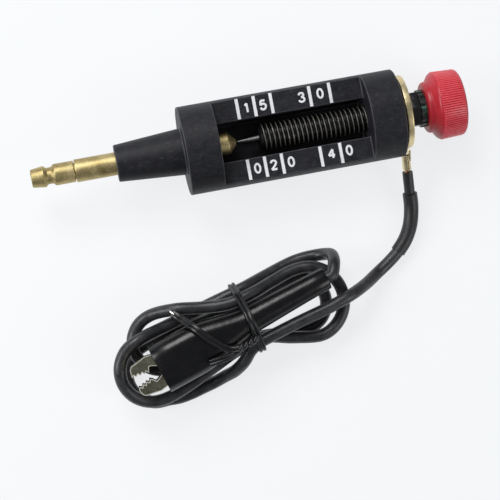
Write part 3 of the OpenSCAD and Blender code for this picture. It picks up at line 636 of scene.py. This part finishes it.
def turned_metal(name, dark, light, rough, pitch, bump, **options):
    """A finish whose height is the tool's fine rings in place of a grain."""
    material = finish(name, dark, light, rough, metal=1.0, **options)
    tree = material.node_tree
    rings = linked(tree, "ShaderNodeGroup", {}, node_tree=lathe_group)
    relief = node_in(tree, "ShaderNodeBump")
    tree.links.new(node_in(tree, "ShaderNodeTexCoord").outputs["Object"], rings.inputs["Place"])
    rings.inputs["Pitch"].default_value = pitch * MM
    tree.links.new(rings.outputs["Height"], relief.inputs["Height"])
    relief.inputs["Strength"].default_value = bump
    relief.inputs["Distance"].default_value = RING_HEIGHT * MM
    return material


ROD_R, STUD_R, ROD_TIP_R = 3.4, 2.5, 0.85
TERMINAL_R, TERMINAL_TIP_R, GROOVE_R = 3.2, 2.65, 2.45
X_TERMINAL, X_SEAM, X_CONE, X_ROD_TIP = -65.2, -52.4, -6.2, -3.8
SEAM = 0.25
brass = turned_metal(
    "turned_brass", (0.31, 0.235, 0.095), (0.66, 0.55, 0.285), (0.4, 0.58), 0.12, 0.35, grain=2600,
    rub=0.75, rub_scale=900, rub_tone=(0.24, 0.17, 0.065),
)
rod_profile = [
    (X_SEAM, 0), (X_SEAM, STUD_R), (X_SEAM + SEAM, STUD_R), (X_SEAM + SEAM, ROD_R),
    (X_CONE, ROD_R), (X_ROD_TIP, ROD_TIP_R), (X_ROD_TIP, 0),
]
rod = lathed("brass_rod", rounded(rod_profile, 0.25), brass)
terminal_profile = [
    (X_TERMINAL, 0), (X_TERMINAL, TERMINAL_TIP_R), (-61.3, TERMINAL_R), (-60.55, GROOVE_R), (-59.05, GROOVE_R),
    (-58.3, TERMINAL_R), (X_SEAM, TERMINAL_R), (X_SEAM, 0),
]
terminal = lathed("terminal", rounded(terminal_profile, 0.3), brass)
for obj, node in [(rod, "hv_rod"), (terminal, "terminal_nut")]:
    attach(obj, "tester")
    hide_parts(node)


# Bush: a turned brass flange on a barrel that is pressed into the housing's head.
# It clamps the ground lug against the housing and guides the screw.
FLANGE_R, BUSH_HOLE_R, BUSH_MOUTH_R = 11.0, 4.0, 4.6
X_FLANGE, X_FLANGE_END = 46.4, 48.2
pale_brass = turned_metal(
    "pale_brass", (0.6, 0.48, 0.24), (0.86, 0.74, 0.46), (0.28, 0.44), 0.2, 0.5, grain=1100,
    rub=0.5, rub_scale=520, rub_tone=(0.36, 0.26, 0.11),
)
bush_profile = [
    (X_FLANGE, BUSH_HOLE_R), (X_FLANGE, FLANGE_R), (X_FLANGE_END, FLANGE_R), (X_FLANGE_END, BUSH_MOUTH_R),
    (47.6, BUSH_HOLE_R), (46.5, BUSH_HOLE_R),
]
bush = lathed("brass_bush", rounded(bush_profile, 0.22), pale_brass, closed=True)
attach(bush, "tester")
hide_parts("threaded_bush")


# Screw: blackened steel with a right-hand thread and a plain tail in the knob; its crests are painted bright all
# round, partly as wear and partly as painted highlight.
# The thread is a turned blank whose radius follows the turn, as a Geometry Nodes tree with pitch and depth.
PITCH, THREAD_DEPTH = 1.411, 0.75
SCREW_R, TAIL_R = 3.95, 3.0
X_SCREW, X_NUT, X_TAIL = 3.1, 48.7, 62.7
THREAD_FROM_R, THREAD_FULL_R = 3.2, 3.9
CREST_FROM_R, CREST_FULL_R = 3.8, 3.94
NEEDLE_HOLE_R, NEEDLE_HOLE_DEPTH = 0.75, 5.3
END_R, END_CHAMFER = 3.1, 0.9
CREST_WEAR_AND_HIGHLIGHT = (0.62, 0.58, 0.5, 1)
thread, given, made = new_tree(
    "GeometryNodeTree", "screw_thread",
    {"Blank": SHAPE, "Pitch": FLOAT, "Depth": FLOAT, "Axis Height": FLOAT, "Skin": SKIN}, {"Screw": SHAPE},
)
position = linked(thread, "GeometryNodeInputPosition", {})
where = linked(thread, "ShaderNodeSeparateXYZ", {0: position.outputs[0]}).outputs
up = maths(thread, "SUBTRACT", where["Z"], given["Axis Height"])
bearing = maths(thread, "ARCTAN2", up, where["Y"])
turns = maths(thread, "DIVIDE", bearing, 2 * math.pi)
pitches = maths(thread, "DIVIDE", where["X"], given["Pitch"])
wave = maths(thread, "PINGPONG", maths(thread, "SUBTRACT", pitches, turns), 0.5)
slope = ranged(thread, wave, 0.06, 0.44, 0.0, -1.0)
outward = linked(thread, "ShaderNodeCombineXYZ", {"Y": where["Y"], "Z": up}).outputs[0]
stand = linked(thread, "ShaderNodeVectorMath", {0: outward}, operation="LENGTH").outputs["Value"]
reached = ranged(thread, stand, THREAD_FROM_R * MM, THREAD_FULL_R * MM)
sink = maths(thread, "MULTIPLY", maths(thread, "MULTIPLY", slope, given["Depth"]), reached)
unit = linked(thread, "ShaderNodeVectorMath", {0: outward}, operation="NORMALIZE")
move = linked(thread, "ShaderNodeVectorMath", {0: unit.outputs[0], "Scale": sink}, operation="SCALE")
cut = linked(thread, "GeometryNodeSetPosition", {"Geometry": given["Blank"], "Offset": move.outputs[0]})
crest = ranged(thread, maths(thread, "ADD", stand, sink), CREST_FROM_R * MM, CREST_FULL_R * MM)
marked = linked(thread, "GeometryNodeStoreNamedAttribute", {
    "Geometry": cut.outputs[0], "Name": "crest", "Value": crest,
})
thread.links.new(real_and_dyed(thread, marked.outputs[0], given["Skin"]), made["Screw"])

screw_steel = finish(
    "screw_steel", (0.003, 0.003, 0.0035), (0.008, 0.008, 0.009), (0.22, 0.36), grain=1600, bump=0.1,
    rub=1.0, rub_scale=420,
)
tree = screw_steel.node_tree
shader = node_in(tree, "ShaderNodeBsdfPrincipled")
# The crests all round the thread are painted bright bare steel: part wear, part a painted highlight on the crest
# lines.
crests = linked(tree, "ShaderNodeAttribute", {}, attribute_name="crest")
rubs = next(n for n in tree.nodes if n.bl_idname == "ShaderNodeGroup" and n.node_tree == rub_group)
wear_and_sheen = maths(tree, "MULTIPLY", crests.outputs["Fac"], ranged(tree, rubs.outputs["Mask"], 0.0, 1.0, 0.3, 1.0))
tone = node_in(tree, "ShaderNodeMix")
bright = linked(tree, "ShaderNodeMix", {0: wear_and_sheen, 6: tone.outputs[2], 7: CREST_WEAR_AND_HIGHLIGHT}, data_type="RGBA")
tree.links.new(bright.outputs[2], shader.inputs["Base Color"])
tree.links.new(wear_and_sheen, shader.inputs["Metallic"])
x_hole = X_SCREW + NEEDLE_HOLE_DEPTH
stations = [(x_hole, 0), (x_hole, NEEDLE_HOLE_R), (X_SCREW, NEEDLE_HOLE_R), (X_SCREW, END_R)]
stations += [(X_SCREW + END_CHAMFER, SCREW_R)]
stations += [(x, SCREW_R) for x in np.arange(X_SCREW + 1.0, X_NUT, PITCH / 12)]
stations += [(X_NUT, SCREW_R), (X_NUT, TAIL_R), (X_TAIL, TAIL_R), (X_TAIL, 0.0)]
blank = lathed("screw_blank", stations, screw_steel, steps=60, angle=60)
screw = grown("screw", thread, blank.data, {
    "Pitch": PITCH * MM, "Depth": THREAD_DEPTH * MM, "Axis Height": AXIS_Z * MM, "Skin": screw_steel,
})
bpy.data.objects.remove(blank)
screw.data.shade_smooth()
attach(screw, "screw")
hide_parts("adjusting_screw")


# Needle: a slim turned point of bare steel, from which the spark jumps.
# Its shank sits in the hole in the end of the screw.
SHANK_R, NEEDLE_R, NEEDLE_TIP_R = 0.7, 0.9, 0.25
X_NEEDLE, X_SHANK, X_SHANK_END = -3.4, 3.2, 8.2
needle_steel = turned_metal(
    "needle_steel", (0.16, 0.16, 0.16), (0.32, 0.32, 0.31), (0.42, 0.58), 0.1, 0.3,
    rub=0.5, rub_scale=900, rub_tone=(0.05, 0.048, 0.045),
)
needle_profile = [
    (X_NEEDLE, 0), (X_NEEDLE, NEEDLE_TIP_R), (X_SHANK, NEEDLE_R), (X_SHANK, SHANK_R), (X_SHANK_END, SHANK_R),
    (X_SHANK_END, 0),
]
needle = lathed("needle_point", rounded(needle_profile, 0.12), needle_steel, steps=48)
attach(needle, "needle")
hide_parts("needle")


# Lock nut and toothed washer: a pressed hexagon of blackened steel and a stamped washer of dark plated sheet.
# Both are run up the screw's tail against the knob, and their edges are broken.
def from_solid(node, name, material, bevel=0, angle=30):
    """The solid's own form with its triangles joined and its edges broken."""
    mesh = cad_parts[node].data.copy()
    mesh.name = name
    work = bmesh.new()
    work.from_mesh(mesh)
    bmesh.ops.remove_doubles(work, verts=work.verts, dist=2e-6)
    bmesh.ops.dissolve_limit(work, angle_limit=math.radians(0.5), verts=work.verts, edges=work.edges)
    work.to_mesh(mesh)
    work.free()
    return dressed(name, mesh, material, angle, bevel, segments=2)


black_steel = finish(
    "black_steel", (0.004, 0.004, 0.005), (0.012, 0.012, 0.014), (0.12, 0.26), grain=800, bump=0.4,
    rub=0.5, rub_scale=500, rub_tone=(0.07, 0.068, 0.06),
)
washer_plate = finish(
    "washer_plate", (0.006, 0.007, 0.007), (0.018, 0.022, 0.02), (0.26, 0.45), grain=1400, bump=0.3,
    rub=0.9, rub_scale=800, rub_tone=(0.1, 0.3, 0.2),
)
for node, name, material, edge, slot in [
    ("lock_nut", "hex_nut", black_steel, 0.5, "black_steel"),
    ("lock_washer", "toothed_washer", washer_plate, 0.15, "plated_steel"),
]:
    obj = from_solid(node, name, material, edge)
    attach(obj, "screw")
    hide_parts(node)


# Knob: red moulded plastic with a collar, a cone and a finely ribbed grip, pressed on the screw's tail.
# The ribs stand on a ring of points, as a Geometry Nodes tree with their count and sizes as inputs.
RIB_COUNT, RIB_HALF, RIB_FOOT_HALF, RIB_ROOT = 90, 0.19, 0.285, 0.5
see_into = {"Subsurface Weight": 0.06, "Subsurface Radius": (0.0012, 0.0004, 0.0003)}
knob_plastic = finish(
    "knob_plastic", (0.41, 0.01, 0.024), (0.52, 0.018, 0.036), (0.3, 0.42), grain=700, bump=0.06,
    rub=0.25, rub_scale=260, rub_tone=(0.66, 0.08, 0.1), **see_into,
)
# The ribs take a lighter, pinker copy of the knob's red: a painted highlight along the grip.
lit_rib_plastic = finish(
    "lit_rib_plastic", (0.74, 0.06, 0.085), (0.86, 0.11, 0.135), (0.26, 0.38), grain=700, bump=0.06,
    rub=0.35, rub_scale=260, rub_tone=(0.92, 0.28, 0.29), **see_into,
)
knob_profile = [
    (53.9, 0), (53.9, 6.9), (54.3, 7.6), (55.2, 7.8), (55.6, 7.8), (56.9, 9.7), (57.4, 10.05), (64.3, 9.8),
    (64.85, 9.7), (65.2, 9.2), (65.2, 0),
]
knob = lathed("knob_body", rounded(knob_profile, 0.5), knob_plastic, steps=128)
ribs, given, made = new_tree(
    "GeometryNodeTree", "knob_ribs",
    {"Rib": SHAPE, "Count": WHOLE, "Axis Height": FLOAT, "Skin": SKIN}, {"Ribs": SHAPE},
)
one_step = maths(ribs, "DIVIDE", 2 * math.pi, given["Count"])
index = linked(ribs, "GeometryNodeInputIndex", {})
swing = linked(ribs, "ShaderNodeCombineXYZ", {"X": maths(ribs, "MULTIPLY", index.outputs[0], one_step)})
spots = linked(ribs, "GeometryNodeMeshLine", {"Count": given["Count"], "Offset": (0, 0, 0)})
ring = linked(ribs, "GeometryNodeInstanceOnPoints", {
    "Points": spots.outputs[0], "Instance": given["Rib"], "Rotation": swing.outputs[0],
})
height = linked(ribs, "ShaderNodeCombineXYZ", {"Z": given["Axis Height"]})
raised = linked(ribs, "GeometryNodeTransform", {"Geometry": ring.outputs[0], "Translation": height.outputs[0]})
ribs.links.new(real_and_dyed(ribs, raised.outputs[0], given["Skin"]), made["Ribs"])
rib_rows = [(57.5, 9.9), (57.8, 10.3), (64.2, 10.02), (64.65, 9.85), (65.0, 9.4)]
verts = []
for x, r in rib_rows:
    foot = r - RIB_ROOT
    verts += [(x, -RIB_FOOT_HALF, foot), (x, -RIB_HALF, r), (x, RIB_HALF, r), (x, RIB_FOOT_HALF, foot)]
faces = skin_faces(len(rib_rows), 4) + [(3, 2, 1, 0), (16, 17, 18, 19)]
one_rib = piece("one_rib", verts, faces, lit_rib_plastic, angle=50)
rib_ring = grown("knob_ribs", ribs, one_rib.data, {
    "Count": RIB_COUNT, "Axis Height": AXIS_Z * MM, "Skin": lit_rib_plastic,
})
bpy.data.objects.remove(one_rib)
for obj in (knob, rib_ring):
    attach(obj, "screw")
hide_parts("knob")


# Ground lug: a ring stamped from brass sheet and clamped under the flange. Its neck is cranked round the
# flange's rim, and its barrel is rolled up with a seam and crimped on the bare strands.
LUG_INNER, LUG_OUTER, LUG_SHEET = 6.2, 8.5, 0.8
BARREL_R, BARREL_BORE_R = 1.3, 0.8
SEAM_FROM, SEAM_TO = math.radians(82), math.radians(428)
lug_brass = finish(
    "lug_brass", (0.66, 0.54, 0.3), (0.88, 0.76, 0.5), (0.22, 0.36), metal=1.0, grain=800, bump=0.05,
    rub=0.5, rub_tone=(0.4, 0.28, 0.12),
)


def beside_lug(reach, x, up):
    """A place on the lug: its reach from the axis, along the axis, and square to both."""
    c, s = math.cos(LUG_TILT), math.sin(LUG_TILT)
    return (x, -reach * c - up * s, AXIS_Z - reach * s + up * c)


x_sheet = X_END + LUG_SHEET
ring_profile = [(X_END, LUG_INNER), (X_END, LUG_OUTER), (x_sheet, LUG_OUTER), (x_sheet, LUG_INNER)]
lug_ring = lathed("lug_ring", ring_profile, lug_brass, closed=True)
# Each row of the neck: along the axis, reach, half thickness and half width.
neck_rows = smooth_route([
    (46.0, 7.4, 0.34, 2.2), (46.0, 9.2, 0.34, 2.2), (46.0, 10.9, 0.34, 2.2), (46.3, 11.42, 0.32, 2.2),
    (46.95, 11.5, 0.3, 2.2), (47.55, 11.56, 0.3, 2.15), (47.88, 11.9, 0.28, 2.0), (47.92, 12.9, 0.26, 1.6),
    (47.93, 14.0, 0.25, 1.2), (47.93, 15.4, 0.25, 1.0),
], 4)
verts = []
for k, (x, reach, thick, wide) in enumerate(neck_rows):
    ahead = neck_rows[min(k + 1, len(neck_rows) - 1)][:2] - neck_rows[max(k - 1, 0)][:2]
    over = np.array((ahead[1], -ahead[0])) / np.linalg.norm(ahead) * thick
    for t, w in [(-1, -1), (1, -1), (1, 1), (-1, 1)]:
        verts.append(beside_lug(reach + t * over[1], x + t * over[0], w * wide))
faces = skin_faces(len(neck_rows), 4) + [(3, 2, 1, 0), tuple(range(len(verts) - 4, len(verts)))]
lug_neck = piece("lug_neck", verts, faces, lug_brass)
# Each row of the barrel: reach, and how far the crimp has pressed it.
barrel_rows = [(13.7, 1.0), (14.9, 1.0), (15.8, 0.93), (17.0, 0.93), (17.6, 1.0), (18.15, 1.03)]
roll = np.linspace(SEAM_FROM, SEAM_TO, 33)
section = [(BARREL_R * math.cos(a), BARREL_R * math.sin(a)) for a in roll]
section += [(BARREL_BORE_R * math.cos(a), BARREL_BORE_R * math.sin(a)) for a in roll[::-1]]
verts = [beside_lug(reach, LUG_X + a, b * press) for reach, press in barrel_rows for a, b in section]
size, last = len(section), len(section) * (len(barrel_rows) - 1)
faces = skin_faces(len(barrel_rows), size)
for i in range(size // 2 - 1):
    end = (i, i + 1, size - 2 - i, size - 1 - i)
    faces += [end[::-1], tuple(last + v for v in end)]
lug_barrel = piece("lug_barrel", verts, faces, lug_brass)
lug = joined("ring_lug", [lug_ring, lug_neck, lug_barrel], lug_brass, bevel=0.08)
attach(lug, "tester")
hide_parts("ground_lug")


# Strands, short wire and sleeve: six bare copper strands laid round a seventh, and the lug's own PVC wire.
# A black PVC sleeve is shrunk over the splice between that wire and the lead.
STRAND_FROM, STRAND_TO, STRAND_R, STRAND_OUT, STRAND_LAY = 15.6, 18.95, 0.26, 0.52, 0.45
SHORT_WIRE_R, SLEEVE_R = 1.6, 2.25
copper = finish("copper_strands", (0.45, 0.22, 0.1), (0.7, 0.42, 0.22), (0.25, 0.4), metal=1.0, rub=0.3)
wire_pvc = finish(
    "wire_pvc", (0.009, 0.009, 0.01), (0.019, 0.019, 0.021), (0.36, 0.5), grain=1300, bump=0.12, rub=0.2,
)


def strand_point(k, reach):
    """A place on one of six strands that wind round a seventh."""
    a, out = math.pi * k / 3 + STRAND_LAY * reach, STRAND_OUT if k < 6 else 0
    return beside_lug(reach, LUG_X + out * math.cos(a), -out * math.sin(a))


strand_reach = np.linspace(STRAND_FROM, STRAND_TO, 12)
wires = [tube("one_strand", [strand_point(k, r) for r in strand_reach], STRAND_R, copper, sides=10) for k in range(7)]
strand_bundle = joined("strand_bundle", wires, copper)
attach(strand_bundle, "tester")
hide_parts("wire_strands")
wire_line = [lug_point(r) for r in np.linspace(STRAND_TO, SPLICE_REACH, 9)]
short_wire = tube("short_wire", wire_line, SHORT_WIRE_R, wire_pvc, sides=28)
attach(short_wire, "tester")
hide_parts("lug_wire")
sleeve = tube("splice_sleeve_skin", smooth_route(lead_bench[:6]), SLEEVE_R, wire_pvc, sides=28)
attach(sleeve, "tester")
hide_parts("splice_sleeve")


# Clip jaws: two jaws bent and toothed from nickel-plated sheet steel, with a sheared edge round the upper plate
# painted bright, partly bare metal and partly painted highlight.
# The near one carries the lead's crimp, and the far one swings on the rivet.
SHEAR_WIDE, SHEAR_DEEP = 0.24, 0.16
nickel = finish(
    "nickel_sheet", (0.26, 0.25, 0.17), (0.5, 0.48, 0.36), (0.16, 0.3), metal=1.0, grain=700, bump=0.15,
    rub=0.6, rub_scale=340, rub_tone=(0.6, 0.57, 0.45),
)
# The bright edge finish stands for bare sheared metal with a painted highlight on the upper plates' rims; the tie's
# wire tip takes it too.
bare_metal_and_highlight = finish(
    "bare_metal_and_highlight", (0.7, 0.68, 0.56), (0.92, 0.9, 0.8), (0.16, 0.28), metal=0.55, grain=1200, bump=0.05, rub=0.2,
)


def sheared(node, name):
    """A jaw from its solid, with a chamfer round its upper plate painted bright as bare sheared metal and painted
    highlight.
    """
    jaw = from_solid(node, name, nickel)
    jaw.data.materials.append(bare_metal_and_highlight)
    work = bmesh.new()
    work.from_mesh(jaw.data)
    work.normal_update()
    top = max(v.co.z for v in work.verts)
    plate = [f for f in work.faces if f.normal.z > 0.9 and f.calc_center_median().z > top - 0.2 * MM]
    outline = {v for f in plate for v in f.verts}
    rim = bmesh.ops.inset_region(
        work, faces=plate, thickness=SHEAR_WIDE * MM, use_even_offset=True, use_boundary=True,
    )
    for face in rim["faces"]:
        face.material_index = 1
    for v in outline:
        on_rim = any(f.material_index == 1 for f in v.link_faces)
        if on_rim and any(abs(f.normal.z) < 0.5 for f in v.link_faces):
            v.co.z -= SHEAR_DEEP * MM
    work.to_mesh(jaw.data)
    work.free()
    return jaw


near_jaw = sheared("clip_fixed_jaw", "near_jaw")
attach(near_jaw, "tester")
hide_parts("clip_fixed_jaw")
far_jaw = sheared("clip_moving_jaw", "far_jaw")
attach(far_jaw, "jaw")
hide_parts("clip_moving_jaw")


# Rivet, spring and wire end: the steel rivet holds both jaws and the torsion spring between them.
# The lead's end lies in the crimp under the boot.
for node, material in [("clip_pin", nickel), ("clip_wire", cord_pvc)]:
    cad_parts[node].data.materials.clear()
    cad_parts[node].data.materials.append(material)
spring = from_solid("clip_spring", "torsion_spring", nickel, angle=60)
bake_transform(spring)
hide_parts("clip_spring")


# Boot: a soft black PVC dipping, wide over the handles and drawn in to the lead.
# It is pushed over the clip from behind, and its tail grips the lead.
BOOT_AROUND = 64
boot_pvc = finish(
    "boot_pvc", (0.0015, 0.0015, 0.0021), (0.004, 0.004, 0.0052), (0.22, 0.34), grain=420, bump=0.16,
    rub=0.15, rub_scale=120, rub_tone=(0.01, 0.01, 0.013), **{"Specular IOR Level": 0.42},
)
# Each row: along the clip, width, height and corner radius, from the inner wall round the mouth to the tail.
boot_rows = [
    (24.0, 7.0, 6.8, 2.3), (13.5, 13.0, 7.8, 2.3), (0.3, 13.0, 7.8, 2.3),
    (0.0, 14.8, 9.6, 4.4), (0.25, 15.2, 10.0, 4.6), (6.0, 15.2, 10.0, 4.6), (12.0, 15.15, 10.0, 4.6),
    (14.5, 14.8, 9.9, 4.6), (18.0, 13.6, 9.7, 4.6), (22.0, 11.8, 9.5, 4.6), (25.5, 10.2, 9.25, 4.5),
    (28.0, 9.25, 9.0, 4.4), (30.0, 8.8, 8.75, 4.3), (36.0, 8.3, 8.25, 4.05), (44.0, 7.7, 7.7, 3.78),
    (52.0, 7.15, 7.15, 3.5), (56.2, 6.9, 6.9, 3.38), (56.7, 6.5, 6.5, 3.18), (56.7, 3.9, 3.9, 1.9),
    (54.0, 3.9, 3.9, 1.9),
]
verts = []
for c, w, h, corner in boot_rows:
    for i in range(BOOT_AROUND):
        a = 2 * math.pi * (i + 0.5) / BOOT_AROUND
        y = math.copysign(w / 2 - corner, math.cos(a)) + corner * math.cos(a)
        z = math.copysign(h / 2 - corner, math.sin(a)) + corner * math.sin(a)
        verts.append(clip_on_bench((c, y, z)))
faces = skin_faces(len(boot_rows), BOOT_AROUND)
faces += [tuple(range(BOOT_AROUND)), tuple(range(len(verts) - BOOT_AROUND, len(verts)))]
boot = piece("boot", verts, faces, boot_pvc, angle=40)
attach(boot, "tester")
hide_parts("clip_boot")


# Twist tie: a thin black plastic ribbon with a soft iron wire in each rounded edge.
# It is wrapped once round the hank and twisted on itself, and its two ends stand off over the boot.
TIE_SECTION = [
    (-1.12, 0.0), (-1.02, 0.28), (-0.78, 0.44), (-0.5, 0.44), (-0.22, 0.28), (0.0, 0.1), (0.22, 0.28), (0.5, 0.44),
    (0.78, 0.44), (1.02, 0.28), (1.12, 0.0), (1.02, -0.2), (0.5, -0.34), (-0.5, -0.34), (-1.02, -0.2),
]
TIE_CLEAR, BAND_STEPS = 0.6, 120
KNOT_OUT, KNOT_R, KNOT_LAY = 0.5, 0.62, 0.62
TIP_R = 0.3
tie_plastic = finish(
    "tie_plastic", (0.006, 0.006, 0.007), (0.014, 0.014, 0.016), (0.22, 0.36), grain=900, bump=0.08, rub=0.2,
)


def ribbon(name, line, faces_up, closed=False):
    """The tie's section along a line in the hank's frame; faces_up gives the way its ridge points."""
    line = np.array(line)
    n, k = len(line), len(TIE_SECTION)
    verts = []
    for i in range(n):
        ahead = line[(i + 1) % n if closed else min(i + 1, n - 1)] - line[i - 1 if closed else max(i - 1, 0)]
        ahead /= np.linalg.norm(ahead)
        top = np.array(faces_up(i), float)
        top -= ahead * np.dot(top, ahead)
        top /= np.linalg.norm(top)
        across = np.cross(top, ahead)
        verts += [on_bench(line[i] + across * a + top * b) for a, b in TIE_SECTION]
    faces = skin_faces(n, k, looped=closed)
    if not closed:
        faces += [tuple(range(k)), tuple(range((n - 1) * k, n * k))]
    return piece(name, verts, faces, tie_plastic, angle=50)


def half_hull(points):
    """One side of the outline that a tight band takes round some points."""
    chain = []
    for p in points:
        while len(chain) > 1:
            (ax, ay), (bx, by) = chain[-2], chain[-1]
            if (bx - ax) * (p[1] - ay) - (by - ay) * (p[0] - ax) > 0:
                break
            chain.pop()
        chain.append(p)
    return chain


boot_spot = in_clip((WAIST_U - CLIP_AT[0], 0, 0))
# Each run that the band holds: across the hank, height and radius.
bundle = [
    (-4.8, 3.0, 1.9), (6.5, 3.0, 1.9), (11, 7.45, 1.9), (8.6, 11.9, 1.9), (-5.6, 11.7, 1.9),
    (boot_spot[1], boot_spot[2], 4.6),
]
rim = []
for v, z, r in bundle:
    out = r + TIE_CLEAR
    rim += [(v + out * math.cos(a), z + out * math.sin(a)) for a in np.linspace(0, 2 * math.pi, 48, endpoint=False)]
rim.sort()
loop = np.array(half_hull(rim)[:-1] + half_hull(rim[::-1])[:-1])
legs = np.linalg.norm(np.roll(loop, -1, 0) - loop, axis=1)
reach = np.concatenate([[0], np.cumsum(legs)])
even = np.linspace(0, reach[-1], BAND_STEPS, endpoint=False)
wrap = np.array([np.interp(even, reach, np.append(loop[:, i], loop[0, i])) for i in (0, 1)]).T


def band_up(i):
    step = wrap[(i + 1) % BAND_STEPS] - wrap[i - 1]
    return (0, step[1], -step[0])


band = ribbon("tie_band", [(WAIST_U, v, z) for v, z in wrap], band_up, closed=True)
knot_line = smooth_route([(4.6, -3.6, 17.4), (1.4, -3.9, 17.7), (-1.8, -4, 17.8)], 10)
strands = []
for side in (0, math.pi):
    twist = []
    for i, p in enumerate(knot_line):
        a = KNOT_LAY * i + side
        twist.append(on_bench(p + KNOT_OUT * np.array((0, math.cos(a), math.sin(a)))))
    strands.append(tube(f"tie_knot_{len(strands)}", twist, KNOT_R, tie_plastic, sides=12))
long_tail = smooth_route([
    (-1.2, -4, 17.9), (-4.6, -2.8, 19.3), (-8.2, 1.7, 19.6), (-10.4, 5.6, 19.6), (-11.4, 7.6, 18.7),
    (-12.6, 9.6, 16.6), (-13.8, 11.6, 14.3), (-15, 13.6, 13.2),
])
short_tail = smooth_route([(-1.2, -4.2, 17.8), (-4.6, -4.9, 18.7), (-8.2, -4.6, 19.3), (-11.5, -4.2, 19.5)])
tails = [
    ribbon("tie_long_tail", long_tail, lambda i: (0, 0.2, 1)),
    ribbon("tie_short_tail", short_tail, lambda i: (0, -0.2, 1)),
]
for obj in [band, *strands, *tails]:
    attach(obj, "tester")
end_way = (long_tail[-1] - long_tail[-2]) / np.linalg.norm(long_tail[-1] - long_tail[-2])
tip_line = [on_bench(long_tail[-1] + end_way * d) for d in (-0.6, 0.2, 0.9)]
tie_tip = tube("tie_wire_tip", tip_line, TIP_R, bare_metal_and_highlight, sides=10)
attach(tie_tip, "tester")
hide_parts("twist_tie")
